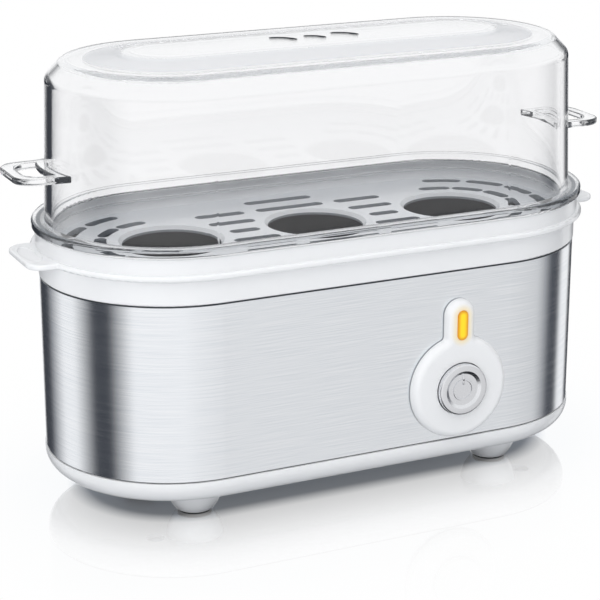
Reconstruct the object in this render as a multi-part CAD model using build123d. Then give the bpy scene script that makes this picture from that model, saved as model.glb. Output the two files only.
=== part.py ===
"""Electric egg cooker: lid, egg tray, housing, heating plate, push switch and wiring.

Lengths are in millimetres and angles in degrees. Z is up from the table, the front faces -Y and
the length runs along X.
"""
import os
from math import atan2, cos, pi, radians, sin, sqrt, tan

from build123d import *

# Allowances shared by all pieces
overrun = 2.0
screw_clearance = 0.05
hole_clearance = 0.2

# Stadium plan of every storey: straight sides joined by half round ends
half_straight = 53.2
shell_radius = 44.3

# Feet and their rubber pads
foot_offset = 3.8
foot_inset = 18.0
foot_height = 8.5
foot_top_radius = 9.8
foot_sole_radius = 6.4
foot_swell = 0.6
foot_peg_radius = 3.0
foot_peg_clearance = 0.1
pad_radius = 5.6
pad_thickness = 1.6
pad_inset = 0.7
pad_clearance = 0.1

# Base cover
base_overhang = 0.3
base_height = 7.9
base_floor = 2.4
base_edge_round = 6.6
base_round_share = 0.9
base_lip_height = 3.5
base_lip_wall = 1.8
base_lip_clearance = 0.15

# Base screws and the posts that they grip
base_screw_offset = 17.8
base_screw_inset = 18.3
base_screw_radius = 1.5
base_screw_length = 13.0
base_screw_head_radius = 2.8
base_screw_head_height = 2.2
base_screw_pocket_depth = 3.4
base_boss_radius = 4.6
base_boss_height = 4.0
post_radius = 4.0
post_height = 22.0
post_web = 2.4
post_web_height = 14.0

# Steel shell
shell_thickness = 0.5
shell_height = 60.5
shell_joint_gap = 0.5

# Housing: sleeve inside the shell, band above it and ledge for the heating plate
sleeve_gap = 0.2
sleeve_wall = 2.0
band_height = 8.45
band_overhang = 0.2
band_wall = 3.5
band_edge_round = 0.6
ledge_width = 4.0
ledge_thickness = 2.5
ledge_depth = 8.0

# Heating plate, a pan for the boiling water
seal_thickness = 1.2
seal_margin = 0.4
plate_flange_clearance = 0.6
plate_flange_thickness = 1.4
plate_wall_clearance = 0.8
plate_wall_draft = 1.2
plate_wall = 2.0
plate_floor = 2.4
plate_depth = 15.6
plate_inner_round = 3.0

# Heating element, a tube peened half way into a pad under the plate
element_radius = 20.0
element_bracket_gap = 4.5
element_tube_radius = 3.2
element_groove_clearance = 0.1
element_pad_width = 10.0
element_pad_height = 4.5
element_tail_gap = 6.5
element_bend = 5.5
element_tail_drop = 6.0
element_bead_radius = 2.6
element_bead_length = 3.0

# Brackets, studs and nuts that pull the plate down on the ledge
bracket_offset = 2.8
bracket_width = 9.0
bracket_thickness = 1.2
bracket_leg_inset = 2.2
stud_radius = 2.0
stud_length = 10.0
nut_across_flats = 7.0
nut_height = 3.2
washer_radius = 4.2
washer_thickness = 0.8
tag_width = 5.0
tag_drop = 9.0
tag_standoff = 0.5

# Screw bosses under the plate and the screws that fit them
plate_boss_radius = 3.0
plate_boss_height = 4.0
plate_screw_radius = 1.45
plate_screw_reach = 3.2
plate_screw_pilot_depth = 3.6
plate_screw_head_radius = 2.75
plate_screw_head_height = 2.0

# Disc thermostat
thermostat_cap_radius = 8.0
thermostat_flange_thickness = 0.8
thermostat_flange_half_length = 17.0
thermostat_flange_width = 11.0
thermostat_screw_x = 12.5
thermostat_body_radius = 7.8
thermostat_body_height = 8.7
thermostat_tab_x = 4.5

# Flat tabs and the push-on connectors that fit them
tab_width = 6.3
tab_thickness = 0.8
tab_length = 8.0
connector_width = 7.6
connector_thickness = 2.6
connector_length = 9.5
connector_slot_depth = 7.4
connector_slot_clearance = 0.1

# Thermal fuse in its sleeve, held by a clip
fuse_offset = 14.0
fuse_radius = 2.0
fuse_length = 11.0
fuse_lead_radius = 0.5
fuse_lead_span = 34.0
fuse_sleeve_radius = 2.8
fuse_sleeve_wall = 0.6
fuse_sleeve_length = 22.0
fuse_standoff = 0.3
fuse_clip_gap = 0.1
fuse_clip_thickness = 0.8
fuse_clip_width = 8.0
fuse_clip_screw_offset = 8.0
fuse_clip_margin = 3.0
crimp_wall = 0.75
crimp_length = 8.0
crimp_clearance = 0.05

# Control panel, a keyhole shaped bezel on the front
panel_inset = 20.6
panel_rise = 19.4
panel_radius = 18.1
panel_neck_half_width = 5.5
panel_neck_rise = 31.2
panel_neck_round = 1.5
panel_proud = 3.5
panel_edge_round = 2.6
spigot_inset = 1.8
spigot_clearance = 0.3

# Panel screws
panel_screw_circle = 13.8
panel_screw_angles = (90.0, 210.0, 330.0)
panel_screw_radius = 1.0
panel_screw_length = 5.5
panel_screw_pilot_depth = 4.0
panel_screw_head_radius = 1.9
panel_screw_head_height = 1.5

# Power button
button_radius = 9.0
button_clearance = 0.3
button_proud = 2.0
button_depth = 7.0
button_wall = 1.4
button_face = 1.6
button_rim_width = 3.1
button_dish_depth = 0.9
button_dish_slope = 0.7
button_edge_round = 0.6
button_socket_radius = 3.4
button_socket_depth = 3.0
button_travel = 2.0
symbol_radius = 3.5
symbol_stroke = 0.8
symbol_height = 0.35
symbol_gap_angle = 70.0
symbol_bar_length = 3.6

# Indicator lens and lamp
lens_rise = 22.5
lens_half_width = 1.95
lens_half_height = 5.2
lens_proud = 0.2
lens_thickness = 3.6
lens_clearance = 0.1
lens_flange = 0.9
lens_flange_thickness = 1.2
lamp_radius = 2.4
lamp_clearance = 0.1
lamp_reach = 1.4
lamp_flange_radius = 3.2
lamp_flange_thickness = 1.0
lamp_lead_radius = 0.3
lamp_lead_length = 3.0
lamp_lead_offset = 1.27

# Switch carrier, a plate behind the wall with a cup for the switch
carrier_margin = 2.2
carrier_notch_clearance = 0.5
carrier_thickness = 2.0
carrier_cup_wall = 1.2
carrier_cup_depth = 6.3
carrier_cup_floor = 1.5

# Push switch
switch_width = 14.0
switch_length = 16.0
switch_wall = 1.5
bushing_radius = 4.0
bushing_clearance = 0.1
bushing_overhang = 0.5
switch_nut_across_flats = 10.0
switch_nut_height = 2.0
plunger_radius = 2.0
plunger_fit = 0.06
plunger_press = 0.05
collar_radius = 3.0
collar_thickness = 1.2
collar_clearance = 0.4
spring_radius = 2.3
spring_wire_radius = 0.3
spring_turns = 6
switch_tab_x = 4.0

# Cord gland at the back
gland_inset = 23.2
gland_rise = 12.4
gland_bore_radius = 3.3
gland_neck_radius = 5.6
gland_hole_clearance = 0.2
gland_flange_radius = 8.0
gland_edge_round = 1.2
gland_snap_radius = 7.2
gland_snap_length = 2.4

# Terminal block on the base floor
block_wall_gap = 8.0
block_length = 30.0
block_width = 14.0
block_height = 13.0
block_edge_round = 0.8
pole_pitch = 9.0
pole_hole_radius = 1.5
pole_hole_height = 5.0
pole_screw_radius = 1.9
pole_screw_height = 3.0
pole_screw_offset = 3.6
pole_screw_sink = 1.0
pole_slot_width = 0.7
pole_slot_depth = 0.8

# Wires
wire_radius = 1.1
lamp_wire_radius = 0.6
wire_bend = 4.0
lamp_wire_bend = 2.0
wire_insert = 4.0
block_wire_gap = 3.0
live_run_gap = 6.0
live_rise = 7.0
earth_rise = 14.0
neutral_run_gap = 9.0
switch_run_gap = 12.0
switch_wire_drop = 13.0
fuse_wire_drop = 11.0
fuse_side_gap = 6.0
fuse_side_drop = 18.0
fuse_run_step = 10.0
fuse_run_drop = 21.0
element_run_step = 25.0
element_run_drop = 20.0
element_wire_drop = 7.0
lamp_wire_gaps = (6.0, 3.0)
lamp_wire_drops = (7.6, 11.6)
lamp_run_step = 18.0

# Egg tray
tray_clearance = 0.5
tray_floor_drop = 0.6
tray_floor = 2.0
tray_floor_inset = 3.3
tray_wall_break_inset = 0.2
tray_wall_break_rise = 2.0
tray_ledge_overhang = 1.6
tray_ledge_thickness = 2.0
tray_ledge_round = 0.8
tray_rim_overhang = 1.0
tray_rim_height = 5.45
tray_rim_width = 2.0
tray_rim_round = 0.6

# Egg seats
seat_radius = 16.5
seat_chamfer = 1.2

# Steam slots in the tray floor: straight ones between the seats and arcs round the ends
slot_width = 4.2
slot_margin = 4.6
slot_row_shares = (0.165, 0.63)
seat_slot_half_length = 13.0
outer_slot_inset = 5.2
outer_slot_angles = (13.0, 39.0, 66.0)
outer_slot_half_angle = 8.5
inner_slot_share = 0.35
inner_slot_angles = (15.0, 45.0, 75.0)
inner_slot_half_angle = 9.0

# Greatest fillets of a tab or loop outline, as shares of its straight side
ear_root_share = 0.7
ear_tip_share = 0.72

# Tray tabs
tray_tab_reach = 6.6
tray_tab_half_width = 14.2
tray_tab_root_half_width = 14.6
tray_tab_neck = -1.5
tray_tab_tip_round = 6.2
tray_tab_root_round = 1.0
dish_half_length = 3.2
dish_half_width = 9.4
dish_depth = 0.9
dish_offset = 4.2

# Lid
lid_wall = 2.5
lid_lip_clearance = 0.6
lid_lip_depth = 2.6
lid_flange_overhang = 1.05
lid_flange_thickness = 3.0
lid_flange_round = 0.9
lid_foot_inset = 0.6
lid_draft = 1.9
lid_wall_height = 50.1
lid_shoulder_run = 5.4
lid_shoulder_height = 5.6
lid_shoulder_round = 4.0
lid_rim_width = 7.1
lid_crown_run = 13.0
lid_crown_height = 2.1
lid_crown_round = 30.0

# Finger loops on the lid
loop_height = 21.5
loop_thickness = 2.2
loop_reach = 14.6
loop_half_width = 13.4
loop_root_half_width = 14.3
loop_neck = 1.5
loop_tip_round = 7.5
loop_root_round = 2.0
loop_bar = 4.2
loop_root_bar = 3.0
loop_edge_round = 0.6

# Steam vents in the lid top, each a quarter round slot
vent_x = (-14.0, -1.7, 9.0)
vent_y = -0.8
vent_radii = (6.6, 4.9, 6.6)
vent_width = 2.4
vent_start_angle = 11.0
vent_sweep_angle = 70.0

# Heights of the storeys, from the table up
base_bottom = foot_height
base_floor_top = base_bottom + base_floor
shell_bottom = base_bottom + base_height
shell_top = shell_bottom + shell_height
band_top = shell_top + band_height
tray_ledge_top = band_top + tray_ledge_thickness
tray_floor_top = tray_ledge_top - tray_floor_drop
tray_floor_bottom = tray_floor_top - tray_floor
rim_top = tray_ledge_top + tray_rim_height
lid_flange_top = rim_top + lid_flange_thickness
lid_wall_top = rim_top + lid_wall_height
lid_shoulder_top = lid_wall_top + lid_shoulder_height
lid_crown_top = lid_shoulder_top + lid_crown_height

# Radii of the nested walls
sleeve_radius = shell_radius - shell_thickness - sleeve_gap
sleeve_inner_radius = sleeve_radius - sleeve_wall
base_radius = shell_radius + base_overhang
base_lip_radius = sleeve_inner_radius - base_lip_clearance
band_radius = shell_radius + band_overhang
band_inner_radius = band_radius - band_wall
ledge_inner_radius = sleeve_inner_radius - ledge_width
plate_flange_radius = band_inner_radius - plate_flange_clearance
plate_wall_radius = ledge_inner_radius - plate_wall_clearance
plate_floor_radius = plate_wall_radius - plate_wall_draft
tray_rim_radius = shell_radius + tray_rim_overhang
tray_rim_inner_radius = tray_rim_radius - tray_rim_width
tray_ledge_radius = tray_rim_radius + tray_ledge_overhang
tray_wall_break_radius = tray_rim_inner_radius - tray_wall_break_inset
tray_floor_radius = tray_rim_inner_radius - tray_floor_inset
seat_edge_radius = seat_radius + seat_chamfer
outer_slot_radius = tray_floor_radius - outer_slot_inset
inner_slot_radius = seat_edge_radius + inner_slot_share * (outer_slot_radius - seat_edge_radius)
lid_flange_radius = tray_rim_radius + lid_flange_overhang
lid_lip_radius = tray_rim_inner_radius - lid_lip_clearance
lid_foot_radius = lid_lip_radius - lid_foot_inset
lid_wall_top_radius = lid_foot_radius - lid_draft
lid_shoulder_radius = lid_wall_top_radius - lid_shoulder_run
lid_crease_radius = lid_shoulder_radius - lid_rim_width
lid_crown_radius = lid_crease_radius - lid_crown_run

# Places in the plan that follow the walls
foot_x = half_straight + foot_offset
foot_y = shell_radius - foot_inset
base_screw_x = half_straight + base_screw_offset
base_screw_y = shell_radius - base_screw_inset
seat_pitch = half_straight
bracket_x = half_straight + bracket_offset
bracket_leg_y = sleeve_inner_radius - bracket_leg_inset
element_end_x = bracket_x - bracket_width / 2 - element_bracket_gap - element_pad_width / 2
element_half_straight = element_end_x - element_radius
fuse_x = -half_straight - fuse_offset
gland_x = gland_inset - half_straight
block_x = gland_x
block_y = sleeve_inner_radius - block_wall_gap - block_width / 2
block_front = block_y - block_width / 2
panel_x = half_straight - panel_inset

# Heights of the heating plate and what hangs below it
ledge_top = band_top - ledge_depth
ledge_bottom = ledge_top - ledge_thickness
plate_flange_bottom = ledge_top + seal_thickness
plate_flange_top = plate_flange_bottom + plate_flange_thickness
plate_bottom = plate_flange_top - plate_depth
plate_floor_top = plate_bottom + plate_floor
element_z = plate_bottom - element_pad_height
plate_boss_bottom = plate_bottom - plate_boss_height
bracket_bottom = plate_bottom - bracket_thickness
washer_bottom = bracket_bottom - washer_thickness
nut_bottom = washer_bottom - nut_height
thermostat_flange_bottom = plate_boss_bottom - thermostat_flange_thickness
thermostat_body_bottom = thermostat_flange_bottom - thermostat_body_height
element_tail_z = element_z - element_bend - element_tail_drop
element_tab_top = element_tail_z - element_bead_length
fuse_z = plate_bottom - fuse_sleeve_radius - fuse_standoff

# Heights of the pieces in the walls
panel_z = shell_bottom + panel_rise
panel_neck_top = panel_z + panel_neck_rise
lens_z = panel_z + lens_rise
gland_z = shell_bottom + gland_rise

# Depths of the pieces at the front wall
wall_front = -shell_radius
wall_back = -sleeve_inner_radius
panel_front = wall_front - panel_proud
button_front = panel_front - button_proud
button_back = button_front + button_depth
carrier_back = wall_back + carrier_thickness
cup_floor_front = wall_back + carrier_cup_depth
cup_floor_back = cup_floor_front + carrier_cup_floor
switch_nut_front = cup_floor_front - switch_nut_height
bushing_front = switch_nut_front - bushing_overhang
switch_back = cup_floor_back + switch_length
cavity_front = cup_floor_back + switch_wall
cavity_back = switch_back - switch_wall
cavity_radius = collar_radius + collar_clearance
collar_back = cavity_front + collar_thickness
lens_front = panel_front - lens_proud
lens_back = lens_front + lens_thickness
lens_flange_back = lens_back + lens_flange_thickness

BASE_ALIGN = (Align.CENTER, Align.CENTER, Align.MIN)


def slab(radius, bottom, top):
    """Upright prism on the stadium plan with the given end radius."""
    plan = SlotCenterToCenter(2 * half_straight, 2 * radius)
    return Pos(0, 0, bottom) * extrude(plan, top - bottom)


def ring(outer, inner, bottom, top):
    """Upright wall between two stadium plans."""
    return slab(outer, bottom, top) - slab(inner, bottom - overrun, top + overrun)


def disc(radius, x, y, bottom, top):
    """Upright cylinder at a place in the plan, between two heights."""
    return Pos(x, y, bottom) * Cylinder(radius, top - bottom, align=BASE_ALIGN)


def rod(radius, start, end):
    """Cylinder between two points."""
    run = Vector(*end) - Vector(*start)
    return Plane(start, z_dir=run) * Cylinder(radius, run.length, align=BASE_ALIGN)


def block(x_limits, y_limits, z_limits):
    """Box between three pairs of limits."""
    sizes = [high - low for low, high in (x_limits, y_limits, z_limits)]
    corner = [low for low, high in (x_limits, y_limits, z_limits)]
    return Pos(*corner) * Box(*sizes, align=(Align.MIN, Align.MIN, Align.MIN))


def across(sketch, front, back):
    """Sketch drawn in X and Z made solid between two Y values."""
    return extrude(Pos(0, back, 0) * (Plane.XZ * sketch), back - front, dir=(0, -1, 0))


def hexagon(across_flats, height):
    """Hexagon prism that stands on its centre."""
    return extrude(RegularPolygon(across_flats / 2, 6, major_radius=False), height)


def rounded(sketch, corners):
    """Sketch with the vertex nearest each corner point filleted to the radius paired with it."""
    for point, radius in corners:
        vertex = sketch.vertices().sort_by_distance(point)[0]
        sketch = fillet(vertex, radius)
    return sketch


def stadium_form(points, corners=()):
    """Solid whose half section, in radius and height, runs round the stadium plan."""
    section = Plane.YZ * rounded(make_face(Polyline(*points, close=True)), corners)
    side = extrude(Pos(-half_straight, 0, 0) * section, 2 * half_straight, dir=(1, 0, 0))
    end_axis = Axis((half_straight, 0, 0), (0, 0, -1))
    end = revolve(Pos(half_straight, 0, 0) * section, end_axis, 180)
    return side + mirror(side, about=Plane.XZ) + end + mirror(end, about=Plane.YZ)


def both_ends(solid):
    """Solid at the right end joined with its mirror image at the left end."""
    return [solid, mirror(solid, about=Plane.YZ)]


def four_corners(x, y):
    """Four places mirrored about both middle lines."""
    return [(sx * x, sy * y) for sx in (-1, 1) for sy in (-1, 1)]


def ear(root_x, neck_x, tip_x, root_half, half, root_round, tip_round):
    """Flat ear outline at the right end: flared at its root, rounded at its tip."""
    straight = tip_x - neck_x
    root_round = min(root_round, ear_root_share * straight)
    tip_round = min(tip_round, ear_tip_share * straight)
    points = [(root_x, root_half), (neck_x, half), (tip_x, half)]
    outline = points + [(x, -y) for x, y in reversed(points)]
    corners = [(point, root_round) for point in ((neck_x, half), (neck_x, -half))]
    corners += [(point, tip_round) for point in ((tip_x, half), (tip_x, -half))]
    return rounded(make_face(Polyline(*outline, close=True)), corners)


def wire(radius, bend, points):
    """Round wire along straight runs joined by arcs of one bend radius."""
    path = FilletPolyline(*points, radius=bend)
    return sweep(Plane(path @ 0, z_dir=path % 0) * Circle(radius), path=path)


def pan_screw(radius, length, head_radius, head_height):
    """Pan head screw whose head stands below the origin and whose shank points up."""
    head = disc(head_radius, 0, 0, -head_height, 0)
    return head + disc(radius, 0, 0, 0, length)


# Feet

def make_foot(x, y):
    """Bowl shaped foot with a peg into the base floor and a recess for its pad."""
    sole = pad_thickness - pad_inset
    middle = ((foot_top_radius + foot_sole_radius) / 2 + foot_swell, (sole + foot_height) / 2)
    side = ThreePointArc((foot_sole_radius, sole), middle, (foot_top_radius, foot_height))
    frame = Polyline((foot_top_radius, foot_height), (0, foot_height), (0, sole), (foot_sole_radius, sole))
    bowl = revolve(Plane.XZ * make_face(side + frame), Axis.Z)
    peg = disc(foot_peg_radius, 0, 0, foot_height, base_floor_top)
    recess = disc(pad_radius + pad_clearance, 0, 0, sole - overrun, pad_thickness)
    return Pos(x, y, 0) * (bowl + peg - recess)


def make_pad(x, y):
    """Rubber disc under a foot."""
    return disc(pad_radius, x, y, 0, pad_thickness)


# Base cover and its screws

def make_base_cover():
    """Shallow tray with a rounded lower edge, a locating lip and screw bosses."""
    body = slab(base_radius, base_bottom, shell_bottom)
    body = fillet(body.edges().group_by(Axis.Z)[0], min(base_edge_round, base_round_share * base_height))
    body += slab(base_lip_radius, shell_bottom, shell_bottom + base_lip_height)
    inside = base_lip_radius - base_lip_wall
    body -= slab(inside, base_floor_top, shell_bottom + base_lip_height + overrun)
    notch_half = panel_radius - spigot_inset + carrier_margin + carrier_notch_clearance
    notch = (panel_x - notch_half, panel_x + notch_half)
    lip_limits = (shell_bottom, shell_bottom + base_lip_height + overrun)
    body -= block(notch, (wall_back, overrun - inside), lip_limits)
    boss_top = base_floor_top + base_boss_height
    pocket_top = base_bottom + base_screw_pocket_depth
    for x, y in four_corners(base_screw_x, base_screw_y):
        body += disc(base_boss_radius, x, y, base_floor_top, boss_top)
        body -= disc(base_screw_head_radius + hole_clearance, x, y, base_bottom - overrun, pocket_top)
        body -= disc(base_screw_radius + hole_clearance, x, y, base_bottom, boss_top + overrun)
    for x, y in four_corners(foot_x, foot_y):
        hole_radius = foot_peg_radius + foot_peg_clearance
        body -= disc(hole_radius, x, y, base_bottom - overrun, base_floor_top + overrun)
    return body


def make_base_screws():
    """Four screws from below, through the base bosses into the housing posts."""
    screw = pan_screw(base_screw_radius, base_screw_length, base_screw_head_radius, base_screw_head_height)
    seat = base_bottom + base_screw_pocket_depth
    return [Pos(x, y, seat) * screw for x, y in four_corners(base_screw_x, base_screw_y)]


# Shell and housing

def keyhole(grow):
    """Keyhole outline of the control panel, grown all round, in X and Z."""
    half = panel_neck_half_width + grow
    radius = panel_radius + grow
    neck_height = panel_neck_top - panel_neck_half_width - panel_z
    neck = Pos(0, neck_height / 2) * Rectangle(2 * half, neck_height)
    outline = Circle(radius) + neck + Pos(0, neck_height) * Circle(half)
    junction = sqrt(radius ** 2 - half ** 2)
    corners = [((side * half, junction), panel_neck_round) for side in (-1, 1)]
    return Pos(panel_x, panel_z) * rounded(outline, corners)


def wall_openings():
    """Cutting shapes for the panel's spigot at the front and the gland's neck at the back."""
    hole = keyhole(spigot_clearance - spigot_inset)
    front = across(hole, wall_front - overrun, wall_back + overrun)
    neck_radius = gland_neck_radius + gland_hole_clearance
    start = (gland_x, sleeve_inner_radius - overrun, gland_z)
    end = (gland_x, shell_radius + overrun, gland_z)
    return [front, rod(neck_radius, start, end)]


def make_steel_shell():
    """Steel wrap, open at both joints, with the panel's keyhole and the gland's hole."""
    bottom, top = shell_bottom + shell_joint_gap, shell_top - shell_joint_gap
    shell = ring(shell_radius, shell_radius - shell_thickness, bottom, top)
    return shell - wall_openings()


def make_housing():
    """Plastic body: sleeve, top band, ledge for the heating plate and screw posts."""
    band = slab(band_radius, shell_top, band_top)
    band = fillet(band.edges().filter_by(GeomType.CIRCLE) + band.edges().filter_by(Axis.X), band_edge_round)
    body = band + slab(sleeve_radius, shell_bottom, shell_top)
    body -= slab(band_inner_radius, ledge_top, band_top + overrun)
    body -= slab(ledge_inner_radius, ledge_bottom - overrun, ledge_top + overrun)
    body -= slab(sleeve_inner_radius, shell_bottom - overrun, ledge_bottom)
    post_bottom = base_floor_top + base_boss_height
    post_top = post_bottom + post_height
    inset = base_screw_x - half_straight
    wall_y = sqrt((sleeve_inner_radius + sleeve_wall / 2) ** 2 - inset ** 2)
    for x, y in four_corners(base_screw_x, base_screw_y):
        body += disc(post_radius, x, y, post_bottom, post_top)
        limits = sorted((y, wall_y if y > 0 else -wall_y))
        body += block((x - post_web / 2, x + post_web / 2), limits, (post_top - post_web_height, post_top))
        tip = base_bottom + base_screw_pocket_depth + base_screw_length
        body -= disc(base_screw_radius + screw_clearance, x, y, post_bottom - overrun, tip + overrun)
    return body - wall_openings()


# Heating plate and what holds it

def element_path():
    """Centre line of the heating element: an open loop with both tails bent down."""
    def half_loop(side):
        rise = (side * element_tail_gap, element_radius, element_tail_z)
        turn = (side * element_tail_gap, element_radius, element_z - element_bend)
        flat = (side * (element_tail_gap + element_bend), element_radius, element_z)
        back = (side * element_half_straight, element_radius, element_z)
        front = (side * element_half_straight, -element_radius, element_z)
        return [Line(rise, turn), TangentArc(turn, flat, tangent=(0, 0, 1)), Line(flat, back),
                TangentArc(back, front, tangent=(side, 0, 0))]

    front_left = (-element_half_straight, -element_radius, element_z)
    front_right = (element_half_straight, -element_radius, element_z)
    return Wire(half_loop(-1) + [Line(front_left, front_right)] + half_loop(1))


def element_tube(radius):
    """Tube of the given radius along the heating element's centre line."""
    path = element_path()
    start = (-element_tail_gap, element_radius, element_tail_z)
    return sweep(Plane(start, z_dir=(0, 0, 1)) * Circle(radius), path=path)


def plate_screw_places():
    """Places in the plan of the three screws under the heating plate."""
    thermostat = [(side * thermostat_screw_x, 0) for side in (-1, 1)]
    return thermostat + [(fuse_x - fuse_clip_screw_offset, 0)]


def make_heating_plate():
    """Water pan with a flange, an element pad, two studs and three screw bosses below."""
    flange = plate_flange_radius
    inner = plate_wall_radius - plate_wall
    floor_inner = plate_floor_radius - plate_wall
    points = [
        (0, plate_bottom), (plate_floor_radius, plate_bottom), (plate_wall_radius, plate_flange_bottom),
        (flange, plate_flange_bottom), (flange, plate_flange_top), (inner, plate_flange_top),
        (floor_inner, plate_floor_top), (0, plate_floor_top)]
    corners = [((floor_inner, plate_floor_top), plate_inner_round)]
    plate = stadium_form(points, corners)
    loop = 2 * element_half_straight
    pad = SlotCenterToCenter(loop, 2 * element_radius + element_pad_width)
    pad -= SlotCenterToCenter(loop, 2 * element_radius - element_pad_width)
    plate += Pos(0, 0, element_z) * extrude(pad, element_pad_height)
    plate -= element_tube(element_tube_radius + element_groove_clearance)
    for x, y in plate_screw_places():
        plate += disc(plate_boss_radius, x, y, plate_boss_bottom, plate_bottom)
        pilot_top = plate_boss_bottom + plate_screw_pilot_depth
        plate -= disc(plate_screw_radius + screw_clearance, x, y, plate_boss_bottom - overrun, pilot_top)
    for side in (-1, 1):
        plate += disc(stud_radius, side * bracket_x, 0, plate_bottom - stud_length, plate_bottom)
    return plate


def make_plate_seal():
    """Silicone ring between the housing's ledge and the plate's flange."""
    inner = ledge_inner_radius + seal_margin
    return ring(plate_flange_radius - seal_margin, inner, ledge_top, plate_flange_bottom)


def make_plate_brackets():
    """Two U shaped straps whose legs press up on the ledge."""
    half = bracket_width / 2
    straps = []
    for x in (-bracket_x, bracket_x):
        limits = (x - half, x + half)
        strap = block(limits, (-bracket_leg_y, bracket_leg_y), (bracket_bottom, plate_bottom))
        for side in (-1, 1):
            leg = sorted((side * bracket_leg_y, side * (bracket_leg_y - bracket_thickness)))
            strap += block(limits, leg, (bracket_bottom, ledge_bottom))
        strap -= disc(stud_radius + hole_clearance, x, 0, bracket_bottom - overrun, plate_bottom + overrun)
        straps.append(strap)
    return straps


def make_plate_nuts():
    """Nuts on the two plate studs."""
    bore = disc(stud_radius + screw_clearance, 0, 0, -overrun, nut_height + overrun)
    nut = hexagon(nut_across_flats, nut_height) - bore
    return [Pos(x, 0, nut_bottom) * nut for x in (-bracket_x, bracket_x)]


def make_washer(x):
    """Washer on a plate stud."""
    hole = disc(stud_radius + hole_clearance, x, 0, washer_bottom - overrun, bracket_bottom + overrun)
    return disc(washer_radius, x, 0, washer_bottom, bracket_bottom) - hole


def tag_face():
    """Y of the earth tag's outer face."""
    return washer_radius + tag_standoff + washer_thickness


def make_earth_tag():
    """Ring tag on the left stud with its tail bent down."""
    limits = (-bracket_x - tag_width / 2, -bracket_x + tag_width / 2)
    arm = block(limits, (0, tag_face()), (washer_bottom, bracket_bottom))
    hole = disc(stud_radius + hole_clearance, -bracket_x, 0, washer_bottom - overrun, bracket_bottom + overrun)
    tail_limits = (tag_face() - washer_thickness, tag_face())
    tail = block(limits, tail_limits, (bracket_bottom - tag_drop, bracket_bottom))
    return make_washer(-bracket_x) + (arm - hole) + tail


def make_plate_screws():
    """Three screws under the plate: two for the thermostat, one for the fuse clip."""
    length = thermostat_flange_thickness + plate_screw_reach
    screw = pan_screw(plate_screw_radius, length, plate_screw_head_radius, plate_screw_head_height)
    return [Pos(x, y, thermostat_flange_bottom) * screw for x, y in plate_screw_places()]


# Flat tabs and connectors

def tab_plane(place, direction, width_direction):
    """Plane at a tab's root, with Z along the tab and X along its width."""
    return Plane(place, x_dir=width_direction, z_dir=direction)


def make_tab(plane):
    """Flat tab that stands on a plane."""
    return plane * Box(tab_width, tab_thickness, tab_length, align=BASE_ALIGN)


def connector_start():
    """Distance from a tab's root to the near end of its connector."""
    return tab_length - connector_slot_depth


def connector_end():
    """Distance from a tab's root to the wire end of its connector."""
    return connector_start() + connector_length


def make_connector(plane):
    """Push-on connector over a tab."""
    clear = 2 * connector_slot_clearance
    shell = Box(connector_width, connector_thickness, connector_length, align=BASE_ALIGN)
    depth = connector_slot_depth + connector_slot_clearance
    slot = Box(tab_width + clear, tab_thickness + clear, depth, align=BASE_ALIGN)
    return plane * (Pos(0, 0, connector_start()) * (shell - slot))


def switch_tabs():
    """Planes of the two tabs on the back of the switch."""
    places = [(panel_x + side * switch_tab_x, switch_back, panel_z) for side in (-1, 1)]
    return [tab_plane(place, (0, 1, 0), (0, 0, 1)) for place in places]


def thermostat_tabs():
    """Planes of the two tabs under the thermostat."""
    places = [(side * thermostat_tab_x, 0, thermostat_body_bottom) for side in (-1, 1)]
    return [tab_plane(place, (0, 0, -1), (0, 1, 0)) for place in places]


def element_tabs():
    """Planes of the two tabs at the element's tails."""
    places = [(side * element_tail_gap, element_radius, element_tab_top) for side in (-1, 1)]
    return [tab_plane(place, (0, 0, -1), (0, 1, 0)) for place in places]


def wire_end(plane):
    """Point where a wire leaves the connector on a tab."""
    return plane.from_local_coords((0, 0, connector_end()))


def make_element_terminals():
    """Ceramic beads and tabs on the element's two tails."""
    terminals = []
    for plane in element_tabs():
        x, y, z = tuple(plane.origin)
        terminals.append(disc(element_bead_radius, x, y, z, element_tail_z) + make_tab(plane))
    return terminals


# Thermostat and thermal fuse

def make_thermostat_cap():
    """Metal cap that touches the plate, with a flange for two screws."""
    cap = disc(thermostat_cap_radius, 0, 0, plate_boss_bottom, plate_bottom)
    outline = SlotOverall(2 * thermostat_flange_half_length, thermostat_flange_width)
    cap += Pos(0, 0, thermostat_flange_bottom) * extrude(outline, thermostat_flange_thickness)
    for side in (-1, 1):
        x = side * thermostat_screw_x
        hole_radius = plate_screw_radius + hole_clearance
        cap -= disc(hole_radius, x, 0, thermostat_flange_bottom - overrun, plate_boss_bottom + overrun)
    return cap


def make_thermostat_body():
    """Moulded body below the flange."""
    return disc(thermostat_body_radius, 0, 0, thermostat_body_bottom, thermostat_flange_bottom)


def along_y(radius, length):
    """Cylinder along Y, centred on the thermal fuse."""
    return rod(radius, (fuse_x, -length / 2, fuse_z), (fuse_x, length / 2, fuse_z))


def make_thermal_fuse():
    """Fuse body with a lead at each end."""
    return along_y(fuse_radius, fuse_length) + along_y(fuse_lead_radius, fuse_lead_span)


def make_fuse_sleeve():
    """Glass fibre sleeve round the fuse."""
    bore = along_y(fuse_sleeve_radius - fuse_sleeve_wall, fuse_sleeve_length + overrun)
    return along_y(fuse_sleeve_radius, fuse_sleeve_length) - bore


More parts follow.
